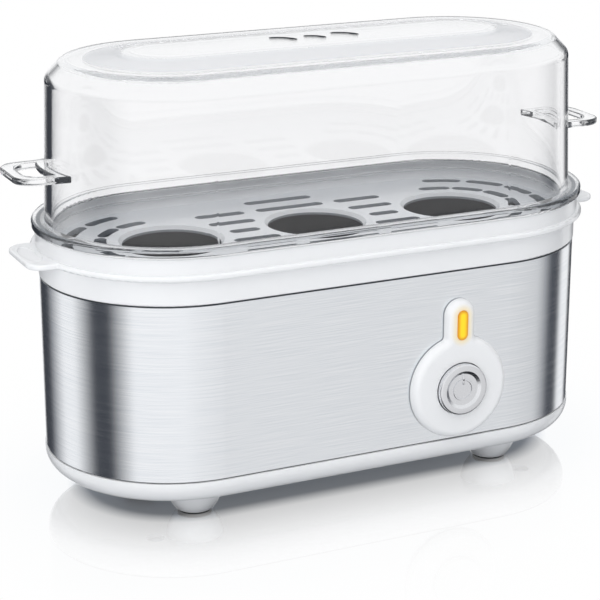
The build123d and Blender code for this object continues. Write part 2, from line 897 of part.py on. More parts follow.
def make_fuse_clip():
    """Strap that hooks under the sleeve, with a foot on its screw boss."""
    inner = fuse_sleeve_radius + fuse_clip_gap
    outer = inner + fuse_clip_thickness
    half = fuse_clip_width / 2
    lower = block((fuse_x - outer, fuse_x + outer), (-half, half), (fuse_z - outer, fuse_z))
    hook = along_y(outer, fuse_clip_width) & lower
    screw_x = fuse_x - fuse_clip_screw_offset
    foot = block((screw_x - fuse_clip_margin, fuse_x), (-half, half), (thermostat_flange_bottom, plate_boss_bottom))
    hole_radius = plate_screw_radius + hole_clearance
    hole = disc(hole_radius, screw_x, 0, thermostat_flange_bottom - overrun, plate_boss_bottom + overrun)
    return hook + foot - along_y(inner, fuse_clip_width + overrun) - hole


def make_fuse_crimps():
    """Crimp tubes that join the fuse's leads to their wires."""
    crimps = []
    for side in (-1, 1):
        middle = side * fuse_lead_span / 2
        start = (fuse_x, middle - crimp_length / 2, fuse_z)
        end = (fuse_x, middle + crimp_length / 2, fuse_z)
        inner = wire_radius + crimp_clearance
        crimps.append(rod(inner + crimp_wall, start, end) - rod(inner, start, end))
    return crimps


# Control panel

def panel_screw_places():
    """X and Z of the panel screws."""
    turns = [radians(angle) for angle in panel_screw_angles]
    return [(panel_x + panel_screw_circle * cos(t), panel_z + panel_screw_circle * sin(t)) for t in turns]


def lens_outline(grow):
    """Upright stadium outline of the lens, grown all round, in X and Z."""
    slot = SlotOverall(2 * (lens_half_height + grow), 2 * (lens_half_width + grow), rotation=90)
    return Pos(panel_x, lens_z) * slot


def button_hole(radius, front, back):
    """Cylinder on the button's axis between two Y values."""
    return rod(radius, (panel_x, front, panel_z), (panel_x, back, panel_z))


def make_control_panel():
    """Keyhole bezel with a spigot through the wall, a button hole and a lens opening."""
    bezel = across(keyhole(0), panel_front, wall_front)
    rim = bezel.faces().sort_by(Axis.Y)[0].edges()
    panel = fillet(rim, min(panel_edge_round, panel_proud))
    panel += across(keyhole(-spigot_inset), wall_front, wall_back)
    panel -= button_hole(button_radius + button_clearance, panel_front - overrun, wall_back + overrun)
    panel -= across(lens_outline(lens_clearance), panel_front - overrun, wall_back + overrun)
    panel -= across(lens_outline(lens_flange + lens_clearance), lens_back, wall_back + overrun)
    for x, z in panel_screw_places():
        start = (x, wall_back - panel_screw_pilot_depth, z)
        panel -= rod(panel_screw_radius + screw_clearance, start, (x, wall_back + overrun, z))
    return panel


def make_panel_screws():
    """Three screws through the carrier into the panel's spigot."""
    screw = pan_screw(panel_screw_radius, panel_screw_length, panel_screw_head_radius, panel_screw_head_height)
    return [Plane((x, carrier_back, z), z_dir=(0, -1, 0)) * screw for x, z in panel_screw_places()]


def make_power_button():
    """Round cap with a dished, slope-edged face, a raised symbol and a socket for the plunger."""
    cap = button_hole(button_radius, button_front, button_back)
    front_edges = cap.edges().group_by(Axis.Y)[0]
    cap = fillet(front_edges, button_edge_round)
    dish_radius = button_radius - button_rim_width
    dish_floor = button_front + button_dish_depth
    cap -= button_hole(dish_radius, button_front - overrun, dish_floor)
    slope = Cone(dish_radius + button_dish_slope, dish_radius, button_dish_slope, align=BASE_ALIGN)
    cap -= Plane((panel_x, button_front, panel_z), z_dir=(0, 1, 0)) * slope
    cap -= button_hole(button_radius - button_wall, dish_floor + button_face, button_back + overrun)
    sweep_angle = 360 - symbol_gap_angle
    start_angle = 90 + symbol_gap_angle / 2
    symbol = SlotArc(CenterArc((0, 0), symbol_radius, start_angle, sweep_angle), symbol_stroke)
    symbol += Pos(0, symbol_radius) * SlotOverall(symbol_bar_length, symbol_stroke, rotation=90)
    cap += across(Pos(panel_x, panel_z) * symbol, dish_floor - symbol_height, dish_floor)
    socket_front = dish_floor + button_face
    cap += button_hole(button_socket_radius, socket_front, socket_front + button_socket_depth)
    bore = plunger_radius + plunger_press
    return cap - button_hole(bore, socket_front, socket_front + button_socket_depth + overrun)


def make_indicator_lens():
    """Stadium lens with a flange behind the panel's opening."""
    lens = across(lens_outline(0), lens_front, lens_back)
    return lens + across(lens_outline(lens_flange), lens_back, lens_flange_back)


def make_indicator_lamp():
    """Lamp with a domed tip, a flange and two leads."""
    tip = wall_back - lamp_reach
    start = (panel_x, carrier_back, lens_z)
    dome_centre = tip + lamp_radius
    lamp = rod(lamp_radius, (panel_x, dome_centre, lens_z), start)
    lamp += Pos(panel_x, dome_centre, lens_z) * Sphere(lamp_radius)
    flange_back = carrier_back + lamp_flange_thickness
    lamp += rod(lamp_flange_radius, start, (panel_x, flange_back, lens_z))
    for point in lamp_lead_ends():
        lead_start = (panel_x, flange_back, point[2])
        lamp += rod(lamp_lead_radius, lead_start, point)
    return lamp


def lamp_lead_ends():
    """Ends of the lamp's upper and lower leads."""
    end_y = carrier_back + lamp_flange_thickness + lamp_lead_length
    return [(panel_x, end_y, lens_z + side * lamp_lead_offset) for side in (1, -1)]


# Push switch

def make_switch_carrier():
    """Plate that clamps the panel to the wall, with a cup for the switch and a hole for the lamp."""
    cup_inner = button_radius + button_clearance
    plate = across(keyhole(carrier_margin - spigot_inset), wall_back, carrier_back)
    plate += button_hole(cup_inner + carrier_cup_wall, wall_back, cup_floor_back)
    plate -= button_hole(cup_inner, wall_back - overrun, cup_floor_front)
    plate -= button_hole(bushing_radius + bushing_clearance, wall_back, cup_floor_back + overrun)
    lamp_start = (panel_x, wall_back - overrun, lens_z)
    plate -= rod(lamp_radius + lamp_clearance, lamp_start, (panel_x, carrier_back + overrun, lens_z))
    for x, z in panel_screw_places():
        start = (x, wall_back - overrun, z)
        plate -= rod(panel_screw_radius + hole_clearance, start, (x, carrier_back + overrun, z))
    return plate


def make_switch_body():
    """Box with a threaded bushing in front and a cavity for the spring."""
    half = switch_width / 2
    body = block((panel_x - half, panel_x + half), (cup_floor_back, switch_back), (panel_z - half, panel_z + half))
    body += button_hole(bushing_radius, bushing_front, cup_floor_back)
    body -= button_hole(plunger_radius + plunger_fit, bushing_front - overrun, cavity_front + overrun)
    return body - button_hole(cavity_radius, cavity_front, cavity_back)


def make_switch_nut():
    """Nut that clamps the bushing to the carrier's cup."""
    nut = hexagon(switch_nut_across_flats, switch_nut_height)
    nut -= disc(bushing_radius + screw_clearance, 0, 0, -overrun, switch_nut_height + overrun)
    return Plane((panel_x, switch_nut_front, panel_z), z_dir=(0, 1, 0)) * nut


def make_switch_plunger():
    """Rod from the button's socket to a collar inside the switch."""
    front = button_front + button_dish_depth + button_face
    return button_hole(plunger_radius, front, collar_back) + button_hole(collar_radius, cavity_front, collar_back)


def biarc(start, start_tangent, end, end_tangent):
    """Two arcs that join two points along the tangents given there."""
    chord = end - start
    together = start_tangent + end_tangent
    apart = 2 * (1 - start_tangent.dot(end_tangent))
    along = chord.dot(together)
    reach = (sqrt(along ** 2 + apart * chord.dot(chord)) - along) / apart
    middle = (start + end + (start_tangent - end_tangent) * reach) / 2
    first = TangentArc(start, middle, tangent=start_tangent)
    return [first, TangentArc(middle, end, tangent=first % 1)]


def make_switch_spring():
    """Coil spring between the plunger's collar and the back of the switch."""
    start = collar_back + spring_wire_radius
    length = cavity_back - spring_wire_radius - start
    quarters = 4 * spring_turns
    slope = length / (2 * pi * spring_radius * spring_turns)

    def place(step):
        turn = radians(90 * step)
        point = (panel_x + spring_radius * cos(turn), start + length * step / quarters,
                 panel_z + spring_radius * sin(turn))
        tangent = Vector(-sin(turn), slope, cos(turn)).normalized()
        return Vector(*point), tangent

    edges = []
    for step in range(quarters):
        edges += biarc(*place(step), *place(step + 1))
    first_point, first_tangent = place(0)
    coil = sweep(Plane(first_point, z_dir=first_tangent) * Circle(spring_wire_radius), path=Wire(edges))
    print("switch_spring gap between turns", round(length / spring_turns - 2 * spring_wire_radius, 3))
    return coil


# Cord gland and terminal block

def make_cord_gland():
    """Bush in the back wall for the mains cord, as proud as the button is at the front."""
    outer_end = shell_radius + panel_proud + button_proud
    inner_end = sleeve_inner_radius - gland_snap_length

    def part(radius, start, end):
        return rod(radius, (gland_x, start, gland_z), (gland_x, end, gland_z))

    flange = part(gland_flange_radius, shell_radius, outer_end)
    flange = fillet(flange.edges().group_by(Axis.Y)[-1], gland_edge_round)
    bush = flange + part(gland_neck_radius, sleeve_inner_radius, shell_radius)
    bush += part(gland_snap_radius, inner_end, sleeve_inner_radius)
    return bush - part(gland_bore_radius, inner_end - overrun, outer_end + overrun)


def pole_places():
    """X of the terminal block's live, earth and neutral poles."""
    return [block_x + side * pole_pitch for side in (-1, 0, 1)]


def pole_front(x):
    """Point inside the front of a pole's hole, where a wire ends."""
    return (x, block_front + wire_insert, base_floor_top + pole_hole_height)


def make_terminal_block():
    """Moulded block with a hole through each pole and screw wells above."""
    half = block_length / 2
    top = base_floor_top + block_height
    y_limits = (block_front, block_front + block_width)
    body = block((block_x - half, block_x + half), y_limits, (base_floor_top, top))
    body = fillet(body.edges().filter_by(Axis.Z), block_edge_round)
    hole_z = base_floor_top + pole_hole_height
    for x in pole_places():
        start = (x, y_limits[0] - overrun, hole_z)
        body -= rod(pole_hole_radius, start, (x, y_limits[1] + overrun, hole_z))
        for side in (-1, 1):
            y = block_y + side * pole_screw_offset
            well_bottom = top - pole_screw_sink - pole_screw_height
            body -= disc(pole_screw_radius + screw_clearance, x, y, well_bottom, top + overrun)
    return body


def make_terminal_screws():
    """Slotted screws in the terminal block's wells."""
    top = base_floor_top + block_height - pole_screw_sink
    screw = disc(pole_screw_radius, 0, 0, -pole_screw_height, 0)
    half = pole_slot_width / 2
    slot_x = (-pole_screw_radius - overrun, pole_screw_radius + overrun)
    screw -= block(slot_x, (-half, half), (-pole_slot_depth, overrun))
    sides = (-1, 1)
    return [Pos(x, block_y + side * pole_screw_offset, top) * screw for x in pole_places() for side in sides]


# Wires

def make_live_wire():
    """From the live pole to the switch."""
    x, y, z = pole_front(pole_places()[0])
    end = wire_end(switch_tabs()[0])
    run_y = end.Y + live_run_gap
    run_z = z + live_rise
    return wire(wire_radius, wire_bend, [
        (x, y, z), (x, block_front - block_wire_gap, z), (x, run_y, run_z), (end.X, run_y, run_z),
        (end.X, run_y, end.Z), tuple(end)])


def make_switch_wire():
    """From the switch to the thermostat."""
    start = wire_end(switch_tabs()[1])
    end = wire_end(thermostat_tabs()[1])
    run_y = end.Y + switch_run_gap
    low = end.Z - switch_wire_drop
    return wire(wire_radius, wire_bend, [
        tuple(start), (start.X, run_y, start.Z), (end.X, run_y, low), (end.X, end.Y, low), tuple(end)])


def fuse_side_y():
    """Y at which the fuse's wires turn down."""
    return fuse_lead_span / 2 + crimp_length / 2 + fuse_side_gap


def make_fuse_wire():
    """From the thermostat to the front end of the thermal fuse."""
    start = wire_end(thermostat_tabs()[0])
    side = -fuse_side_y()
    return wire(wire_radius, wire_bend, [
        tuple(start), (start.X, start.Y, start.Z - fuse_wire_drop),
        (fuse_x + fuse_run_step, side / 2, fuse_z - fuse_run_drop), (fuse_x, side, fuse_z - fuse_side_drop),
        (fuse_x, side, fuse_z), (fuse_x, -fuse_lead_span / 2, fuse_z)])


def make_element_wire():
    """From the back end of the thermal fuse to the element."""
    end = wire_end(element_tabs()[0])
    side = fuse_side_y()
    return wire(wire_radius, wire_bend, [
        (fuse_x, fuse_lead_span / 2, fuse_z), (fuse_x, side, fuse_z), (fuse_x, side, fuse_z - fuse_side_drop),
        (fuse_x + element_run_step, side, fuse_z - element_run_drop),
        (end.X, end.Y, end.Z - element_wire_drop), tuple(end)])


def make_earth_wire():
    """From the earth pole to the tag on the plate's stud."""
    x, y, z = pole_front(pole_places()[1])
    turn_y = block_front - block_wire_gap
    end = (-bracket_x, tag_face() - washer_thickness / 2, bracket_bottom - tag_drop)
    return wire(wire_radius, wire_bend, [
        (x, y, z), (x, turn_y, z), (x, turn_y, z + earth_rise), (end[0], end[1], z + earth_rise), end])


def make_neutral_wire():
    """From the neutral pole to the element."""
    x, y, z = pole_front(pole_places()[2])
    end = wire_end(element_tabs()[1])
    run_y = end.Y - neutral_run_gap
    return wire(wire_radius, wire_bend, [(x, y, z), (x, run_y, z), (end.X, run_y, z), (end.X, end.Y, z), tuple(end)])


def make_lamp_wires():
    """From the lamp's leads to the switch's output and the element's neutral side."""
    output = switch_tabs()[1].from_local_coords((connector_width / 2, 0, tab_length))
    neutral = element_tabs()[1].from_local_coords((0, 0, tab_length))
    side = (neutral.X + connector_thickness / 2, neutral.Y, neutral.Z)
    ends = ([(output.X, output.Y, lens_z - lamp_wire_drops[0]), tuple(output)],
            [(side[0] + lamp_run_step, neutral.Y, neutral.Z), side])
    wires = []
    for lead, gap, drop, end in zip(lamp_lead_ends(), lamp_wire_gaps, lamp_wire_drops, ends):
        turn_y = lead[1] + gap
        start = [lead, (panel_x, turn_y, lead[2]), (panel_x, turn_y, lens_z - drop)]
        wires.append(wire(lamp_wire_radius, lamp_wire_bend, start + end))
    return wires


# Egg tray

def steam_slots():
    """Straight slots beside the seats and arc slots round the ends, as a list of sketches."""
    near, far = [seat_edge_radius + share * (tray_floor_radius - seat_edge_radius) for share in slot_row_shares]
    middle = seat_pitch / 2
    reach = seat_radius + slot_margin
    gap_rows = {0: middle - reach, near / 2: middle - sqrt(reach ** 2 - (near / 2) ** 2),
                near: middle - seat_slot_half_length - slot_margin}
    cells = []
    for y, half in gap_rows.items():
        if 2 * half <= slot_width:
            continue
        for x in (-middle, middle):
            cells += [Pos(x, row) * SlotOverall(2 * half, slot_width) for row in {-y, y}]
    for y in (-far, -near, near, far):
        cells.append(Pos(0, y) * SlotOverall(2 * seat_slot_half_length, slot_width))
    rings = ((outer_slot_radius, outer_slot_angles, outer_slot_half_angle),
             (inner_slot_radius, inner_slot_angles, inner_slot_half_angle))
    for radius, angles, half_angle in rings:
        for turn in [sign * angle for angle in angles for sign in (-1, 1)]:
            arc = CenterArc((half_straight, 0), radius, turn - half_angle, 2 * half_angle)
            cells += both_ends(SlotArc(arc, slot_width))
    return cells


def make_egg_tray():
    """Tray with a rim, a ledge, two tabs, three seats and steam slots."""
    points = [
        (0, tray_floor_bottom), (band_inner_radius - tray_clearance, tray_floor_bottom),
        (band_inner_radius - tray_clearance, band_top), (tray_ledge_radius, band_top),
        (tray_ledge_radius, tray_ledge_top), (tray_rim_radius, tray_ledge_top), (tray_rim_radius, rim_top),
        (tray_rim_inner_radius, rim_top),
        (tray_wall_break_radius, tray_floor_top + tray_wall_break_rise), (tray_floor_radius, tray_floor_top),
        (0, tray_floor_top)]
    corners = [((tray_ledge_radius, band_top), tray_ledge_round),
               ((tray_ledge_radius, tray_ledge_top), tray_ledge_round),
               ((tray_rim_radius, rim_top), tray_rim_round)]
    tray = stadium_form(points, corners)
    root_x = half_straight + sqrt(tray_rim_radius ** 2 - tray_tab_root_half_width ** 2)
    neck_x = half_straight + tray_ledge_radius + tray_tab_neck
    tip_x = half_straight + tray_ledge_radius + tray_tab_reach
    outline = ear(root_x, neck_x, tip_x, tray_tab_root_half_width, tray_tab_half_width,
                  tray_tab_root_round, tray_tab_tip_round)
    tab = Pos(0, 0, band_top) * extrude(outline, tray_ledge_thickness)
    tab = fillet(tab.edges().filter_by(Plane.XY), tray_ledge_round)
    dish = scale(Sphere(1), by=(dish_half_length, dish_half_width, dish_depth))
    tab -= Pos(tip_x - dish_offset, 0, tray_ledge_top) * dish
    tray += both_ends(tab)
    for x in (-seat_pitch, 0, seat_pitch):
        tray -= disc(seat_radius, x, 0, tray_floor_bottom - overrun, tray_floor_top + overrun)
        cone = Cone(seat_radius, seat_radius + seat_chamfer, seat_chamfer, align=BASE_ALIGN)
        tray -= Pos(x, 0, tray_floor_top - seat_chamfer) * cone
    depth = tray_floor + 2 * overrun
    cuts = [Pos(0, 0, tray_floor_bottom - overrun) * extrude(cell, depth) for cell in steam_slots()]
    return tray - cuts


# Lid

def lid_radius(height):
    """Outside radius of the lid's drafted wall at a height above the tray's rim."""
    share = height / lid_wall_height
    return lid_foot_radius + (lid_wall_top_radius - lid_foot_radius) * share


def lid_inside():
    """Solid of the space under the lid."""
    lean = atan2(lid_wall_top_radius - lid_shoulder_radius, lid_shoulder_height)
    lip_bottom = rim_top - lid_lip_depth
    low_drop = lid_wall * tan(lean / 2)
    high_inset = lid_wall * tan((radians(90) - lean) / 2)
    points = [
        (0, lip_bottom - overrun), (lid_foot_radius - lid_wall, lip_bottom - overrun),
        (lid_foot_radius - lid_wall, rim_top), (lid_wall_top_radius - lid_wall, lid_wall_top - low_drop),
        (lid_shoulder_radius - high_inset, lid_shoulder_top - lid_wall),
        (lid_crease_radius, lid_shoulder_top - lid_wall), (lid_crown_radius, lid_crown_top - lid_wall),
        (0, lid_crown_top - lid_wall)]
    inner_round = max(lid_shoulder_round - lid_wall, lid_flange_round)
    corners = [(points[3], inner_round), (points[4], inner_round), (points[6], lid_crown_round)]
    return stadium_form(points, corners)


def make_lid_dome():
    """Clear lid with a flange, a locating lip, a shouldered top, vents and two finger loops."""
    lip_bottom = rim_top - lid_lip_depth
    points = [
        (0, lip_bottom), (lid_lip_radius, lip_bottom), (lid_lip_radius, rim_top), (lid_flange_radius, rim_top),
        (lid_flange_radius, lid_flange_top), (lid_radius(lid_flange_thickness), lid_flange_top),
        (lid_wall_top_radius, lid_wall_top), (lid_shoulder_radius, lid_shoulder_top),
        (lid_crease_radius, lid_shoulder_top), (lid_crown_radius, lid_crown_top), (0, lid_crown_top)]
    corners = [(points[3], lid_flange_round), (points[4], lid_flange_round), (points[6], lid_shoulder_round),
               (points[7], lid_shoulder_round), (points[9], lid_crown_round)]
    lid = stadium_form(points, corners)
    wall = lid_radius(loop_height)
    root_x = half_straight + sqrt((wall - lid_wall) ** 2 - loop_root_half_width ** 2)
    neck_x = half_straight + wall + loop_neck
    tip_x = half_straight + wall + loop_reach
    outline = ear(root_x, neck_x, tip_x, loop_root_half_width, loop_half_width, loop_root_round, loop_tip_round)
    inner_tip_round = loop_tip_round - loop_bar / 2
    inner_half = loop_half_width - loop_bar
    opening = Rectangle(tip_x - loop_bar - half_straight, 2 * inner_half, align=(Align.MIN, Align.CENTER))
    opening = Pos(half_straight, 0) * opening
    opening = rounded(opening, [((tip_x - loop_bar, side * inner_half), inner_tip_round) for side in (-1, 1)])
    opening -= Pos(half_straight, 0) * Circle(wall + loop_root_bar)
    loop = Pos(0, 0, rim_top + loop_height - loop_thickness / 2) * extrude(outline - opening, loop_thickness)
    loop = fillet(loop.edges().filter_by(Plane.XY), loop_edge_round)
    lid += both_ends(loop)
    lid -= lid_inside()
    for x, radius in zip(vent_x, vent_radii):
        arc = CenterArc((x, vent_y), radius, vent_start_angle, vent_sweep_angle)
        slot = extrude(SlotArc(arc, vent_width), lid_wall + 2 * overrun)
        lid -= Pos(0, 0, lid_crown_top - lid_wall - overrun) * slot
    return lid


# Nodes, one file each

def all_nodes():
    """Every node's name with its solid or group of solids."""
    nodes = {
        "lid_dome": make_lid_dome(),
        "egg_tray": make_egg_tray(),
        "housing": make_housing(),
        "steel_shell": make_steel_shell(),
        "base_cover": make_base_cover(),
        "base_screws": make_base_screws(),
        "heating_plate": make_heating_plate(),
        "plate_seal": make_plate_seal(),
        "plate_brackets": make_plate_brackets(),
        "plate_nuts": make_plate_nuts(),
        "plate_washer": make_washer(bracket_x),
        "plate_screws": make_plate_screws(),
        "earth_tag": make_earth_tag(),
        "heating_element": element_tube(element_tube_radius),
        "element_terminals": make_element_terminals(),
        "thermostat_cap": make_thermostat_cap(),
        "thermostat_body": make_thermostat_body(),
        "thermostat_terminals": [make_tab(plane) for plane in thermostat_tabs()],
        "thermal_fuse": make_thermal_fuse(),
        "fuse_sleeve": make_fuse_sleeve(),
        "fuse_clip": make_fuse_clip(),
        "fuse_crimps": make_fuse_crimps(),
        "control_panel": make_control_panel(),
        "panel_screws": make_panel_screws(),
        "power_button": make_power_button(),
        "indicator_lens": make_indicator_lens(),
        "indicator_lamp": make_indicator_lamp(),
        "switch_carrier": make_switch_carrier(),
        "switch_body": make_switch_body(),
        "switch_nut": make_switch_nut(),
        "switch_plunger": make_switch_plunger(),
        "switch_spring": make_switch_spring(),
        "switch_terminals": [make_tab(plane) for plane in switch_tabs()],
        "cord_gland": make_cord_gland(),
        "terminal_block": make_terminal_block(),
        "terminal_screws": make_terminal_screws(),
        "wire_connectors": [make_connector(p) for p in switch_tabs() + thermostat_tabs() + element_tabs()],
        "live_wire": make_live_wire(),
        "switch_wire": make_switch_wire(),
        "fuse_wire": make_fuse_wire(),
        "element_wire": make_element_wire(),
        "neutral_wire": make_neutral_wire(),
        "earth_wire": make_earth_wire(),
        "lamp_wires": make_lamp_wires(),
    }
    for x, y in four_corners(foot_x, foot_y):
        corner = ("rear" if y > 0 else "front") + ("_right" if x > 0 else "_left")
        nodes["foot_" + corner] = make_foot(x, y)
        nodes["foot_pad_" + corner] = make_pad(x, y)
    return nodes


os.makedirs("parts", exist_ok=True)
for name, shape in all_nodes().items():
    group = Compound(children=shape) if isinstance(shape, list) else shape
    export_step(group, "parts/" + name + ".step")
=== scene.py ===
"""Looks of a three-seat electric egg cooker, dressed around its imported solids."""

import logging
import math
from dataclasses import dataclass
from enum import Enum

import bpy
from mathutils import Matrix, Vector


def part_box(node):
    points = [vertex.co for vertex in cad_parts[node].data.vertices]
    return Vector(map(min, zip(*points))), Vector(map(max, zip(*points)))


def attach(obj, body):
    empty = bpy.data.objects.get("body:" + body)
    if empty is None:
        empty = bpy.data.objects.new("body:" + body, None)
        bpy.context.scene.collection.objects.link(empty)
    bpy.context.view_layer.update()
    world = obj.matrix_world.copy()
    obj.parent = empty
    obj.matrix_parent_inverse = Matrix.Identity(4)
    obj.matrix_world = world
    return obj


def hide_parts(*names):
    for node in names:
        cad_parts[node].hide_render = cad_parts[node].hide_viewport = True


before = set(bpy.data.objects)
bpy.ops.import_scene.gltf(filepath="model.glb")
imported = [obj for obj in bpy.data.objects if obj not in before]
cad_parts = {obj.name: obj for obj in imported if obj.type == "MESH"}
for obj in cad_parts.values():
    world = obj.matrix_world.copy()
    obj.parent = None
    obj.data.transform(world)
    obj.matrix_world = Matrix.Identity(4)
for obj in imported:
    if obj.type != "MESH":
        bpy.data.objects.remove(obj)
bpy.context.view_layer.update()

log = logging.getLogger("egg_cooker")
Tree = bpy.types.NodeTree
Socket = bpy.types.NodeSocket
Colour = tuple[float, float, float, float]
Triple = tuple[float, float, float]
Pair = tuple[float, float]

MM = 0.001
FULL_TURN = 360.0
# Half of the straight run between the cooker's two round ends, in millimetres.
HALF_STRAIGHT = 53.2
# Half of the lens's width and height, in millimetres.
LENS_HALF_WIDTH = 1.95
LENS_HALF_HEIGHT = 5.2
# Most of a noise pattern lies between these two values.
PATTERN_LOW = 0.3
PATTERN_HIGH = 0.7
# A face whose normal rises less than this counts as upright.
UPRIGHT_RISE = 0.5
# The mix node's colour sockets, by number because its other kinds share their names.
MIX_FIRST = 6
MIX_SECOND = 7
MIX_RESULT = 2


def srgb(code: str) -> Colour:
    """Turns an sRGB hex colour into linear light.

    Args:
        code: Colour such as "#F2F2F1".

    Returns:
        Red, green, blue and alpha, linear.
    """
    channels = [int(code[start:start + 2], 16) / 255 for start in (1, 3, 5)]
    red, green, blue = [c / 12.92 if c <= 0.04045 else ((c + 0.055) / 1.055) ** 2.4 for c in channels]
    return red, green, blue, 1.0


def scale_for(millimetres: float) -> float:
    """Gives the texture scale at which one feature is that many millimetres wide."""
    return 1.0 / (millimetres * MM)


def empty_tree(owner: bpy.types.Material | bpy.types.World) -> Tree:
    """Gives a material or a world an empty node tree.

    Args:
        owner: Material or world.

    Returns:
        Its node tree.
    """
    owner.use_nodes = True
    owner.node_tree.nodes.clear()
    return owner.node_tree


def add_node(tree: Tree, kind: str, inputs: dict | None = None, **settings: str) -> bpy.types.Node:
    """Adds one node with its settings, constants and links.

    Args:
        tree: Node tree that the node goes into.
        kind: Node type, as Blender names it.
        inputs: Socket name or number, with the constant or the output socket that feeds it.
        settings: Properties of the node itself.

    Returns:
        The new node.
    """
    node = tree.nodes.new(kind)
    for key, value in settings.items():
        setattr(node, key, value)
    for key, value in (inputs or {}).items():
        if isinstance(value, Socket):
            tree.links.new(value, node.inputs[key])
        else:
            node.inputs[key].default_value = value
    return node


def calculate(tree: Tree, operation: str, *values: Socket | float) -> Socket:
    """Adds one sum and returns the socket with its result."""
    return add_node(tree, "ShaderNodeMath", dict(enumerate(values)), operation=operation).outputs["Value"]


def blend(tree: Tree, share: Socket, first: Socket | Colour, second: Socket | Colour) -> Socket:
    """Blends two colours.

    Args:
        tree: Node tree of the material or the world.
        share: Share of the second colour, from 0 to 1.
        first: Colour where the share is 0.
        second: Colour where the share is 1.

    Returns:
        Socket with the blended colour.
    """
    sockets = {"Factor": share, MIX_FIRST: first, MIX_SECOND: second}
    return add_node(tree, "ShaderNodeMix", sockets, data_type="RGBA").outputs[MIX_RESULT]


def overlay(tree: Tree, share: Socket, first: Socket, second: Socket) -> Socket:
    """Lays one shader over another by a share from 0 to 1 and returns the mixed shader's socket."""
    return add_node(tree, "ShaderNodeMixShader", {0: share, 1: first, 2: second}).outputs["Shader"]


def remap(tree: Tree, value: Socket, start: float, end: float, low: float = 0.0, high: float = 1.0,
          kind: str = "LINEAR") -> Socket:
    """Stretches one range of a value over another, and holds it at the ends.

    Args:
        tree: Node tree of the material or the world.
        value: Value that is stretched.
        start: Value that becomes low.
        end: Value that becomes high.
        low: Result at the start.
        high: Result at the end.
        kind: How the result runs in between, as Blender names it.

    Returns:
        Socket with the new value.
    """
    sockets = {"Value": value, "From Min": start, "From Max": end, "To Min": low, "To Max": high}
    return add_node(tree, "ShaderNodeMapRange", sockets, interpolation_type=kind).outputs["Result"]


def uneven(tree: Tree, pattern: Socket, middle: float, share: float) -> Socket:
    """Makes a value rise and fall with a pattern.

    Args:
        tree: Node tree of the material.
        pattern: Pattern from 0 to 1.
        middle: Middle of the value.
        share: How far the value goes each way, as a share of its middle.

    Returns:
        Socket with the value.
    """
    low, high = middle * (1.0 - share), middle * (1.0 + share)
    return remap(tree, pattern, PATTERN_LOW, PATTERN_HIGH, low, high)


def raised(tree: Tree, pattern: Socket, relief: float, strength: float) -> Socket:
    """Raises a pattern on a surface.

    Args:
        tree: Node tree of the material.
        pattern: Pattern from 0 to 1.
        relief: Height of the pattern, in millimetres.
        strength: How much of the relief shows in the shading.

    Returns:
        Socket with the surface's normal.
    """
    sockets = {"Height": pattern, "Strength": strength, "Distance": relief * MM}
    return add_node(tree, "ShaderNodeBump", sockets).outputs["Normal"]


def set_stops(ramp: bpy.types.Node, stops: list[tuple[float, Colour]]) -> None:
    """Sets the stops of a colour ramp.

    Args:
        ramp: Colour ramp node.
        stops: Position from 0 to 1 and colour of each stop, in order.
    """
    elements = ramp.color_ramp.elements
    half_way = 0.5
    while len(elements) < len(stops):
        elements.new(half_way)
    for element, (position, colour) in zip(elements, stops):
        element.position = position
        element.color = colour


def place_on(tree: Tree) -> Socket:
    """Gives a point's place on its own piece, in metres."""
    return add_node(tree, "ShaderNodeTexCoord").outputs["Object"]


def axis_of(tree: Tree, vector: Socket, axis: str) -> Socket:
    """Takes one axis, "X", "Y" or "Z", out of a vector."""
    return add_node(tree, "ShaderNodeSeparateXYZ", {0: vector}).outputs[axis]


def height_of(tree: Tree) -> Socket:
    """Gives a point's height above the floor, in metres."""
    return axis_of(tree, place_on(tree), "Z")


def upright_faces(tree: Tree) -> Socket:
    """Finds the faces that stand upright rather than level.

    Args:
        tree: Node tree of the material.

    Returns:
        Socket with 1 on upright faces and 0 elsewhere.
    """
    normal = add_node(tree, "ShaderNodeTexCoord").outputs["Normal"]
    rise = calculate(tree, "ABSOLUTE", axis_of(tree, normal, "Z"))
    return calculate(tree, "LESS_THAN", rise, UPRIGHT_RISE)


def cloudy(tree: Tree, size: float, stretch: Triple = (1.0, 1.0, 1.0), detail: float = 2.0) -> Socket:
    """Makes an uneven pattern fixed to the piece.

    Args:
        tree: Node tree of the material.
        size: Width of one feature, in millimetres.
        stretch: How many times longer a feature is along X, Y and Z.
        detail: Octaves of finer pattern on top.

    Returns:
        Socket with a value from 0 to 1.
    """
    shrink = tuple(1.0 / times for times in stretch)
    drawn = add_node(tree, "ShaderNodeMapping", {"Vector": place_on(tree), "Scale": shrink})
    noise = add_node(tree, "ShaderNodeTexNoise", {
        "Vector": drawn.outputs["Vector"], "Scale": scale_for(size), "Detail": detail})
    return noise.outputs["Fac"]


def from_line(tree: Tree, along: Socket, across: Socket, half_length: float) -> Socket:
    """Measures how far a point is from a straight line in a plane.

    Args:
        tree: Node tree of the material.
        along: Distance from the line's middle, along it, in metres.
        across: Distance across the line, in metres.
        half_length: Half of the line's length, in millimetres.

    Returns:
        Socket with the distance in metres.
    """
    past = calculate(tree, "SUBTRACT", calculate(tree, "ABSOLUTE", along), half_length * MM)
    beyond = calculate(tree, "MAXIMUM", past, 0.0)
    flat = add_node(tree, "ShaderNodeCombineXYZ", {"X": beyond, "Y": across}).outputs["Vector"]
    return add_node(tree, "ShaderNodeVectorMath", {0: flat}, operation="LENGTH").outputs["Value"]


def from_middle(tree: Tree) -> Socket:
    """Measures, seen from above, how far a point is from the cooker's middle line.

    Args:
        tree: Node tree of the material.

    Returns:
        Socket with the distance in metres.
    """
    place = place_on(tree)
    return from_line(tree, axis_of(tree, place, "X"), axis_of(tree, place, "Y"), HALF_STRAIGHT)


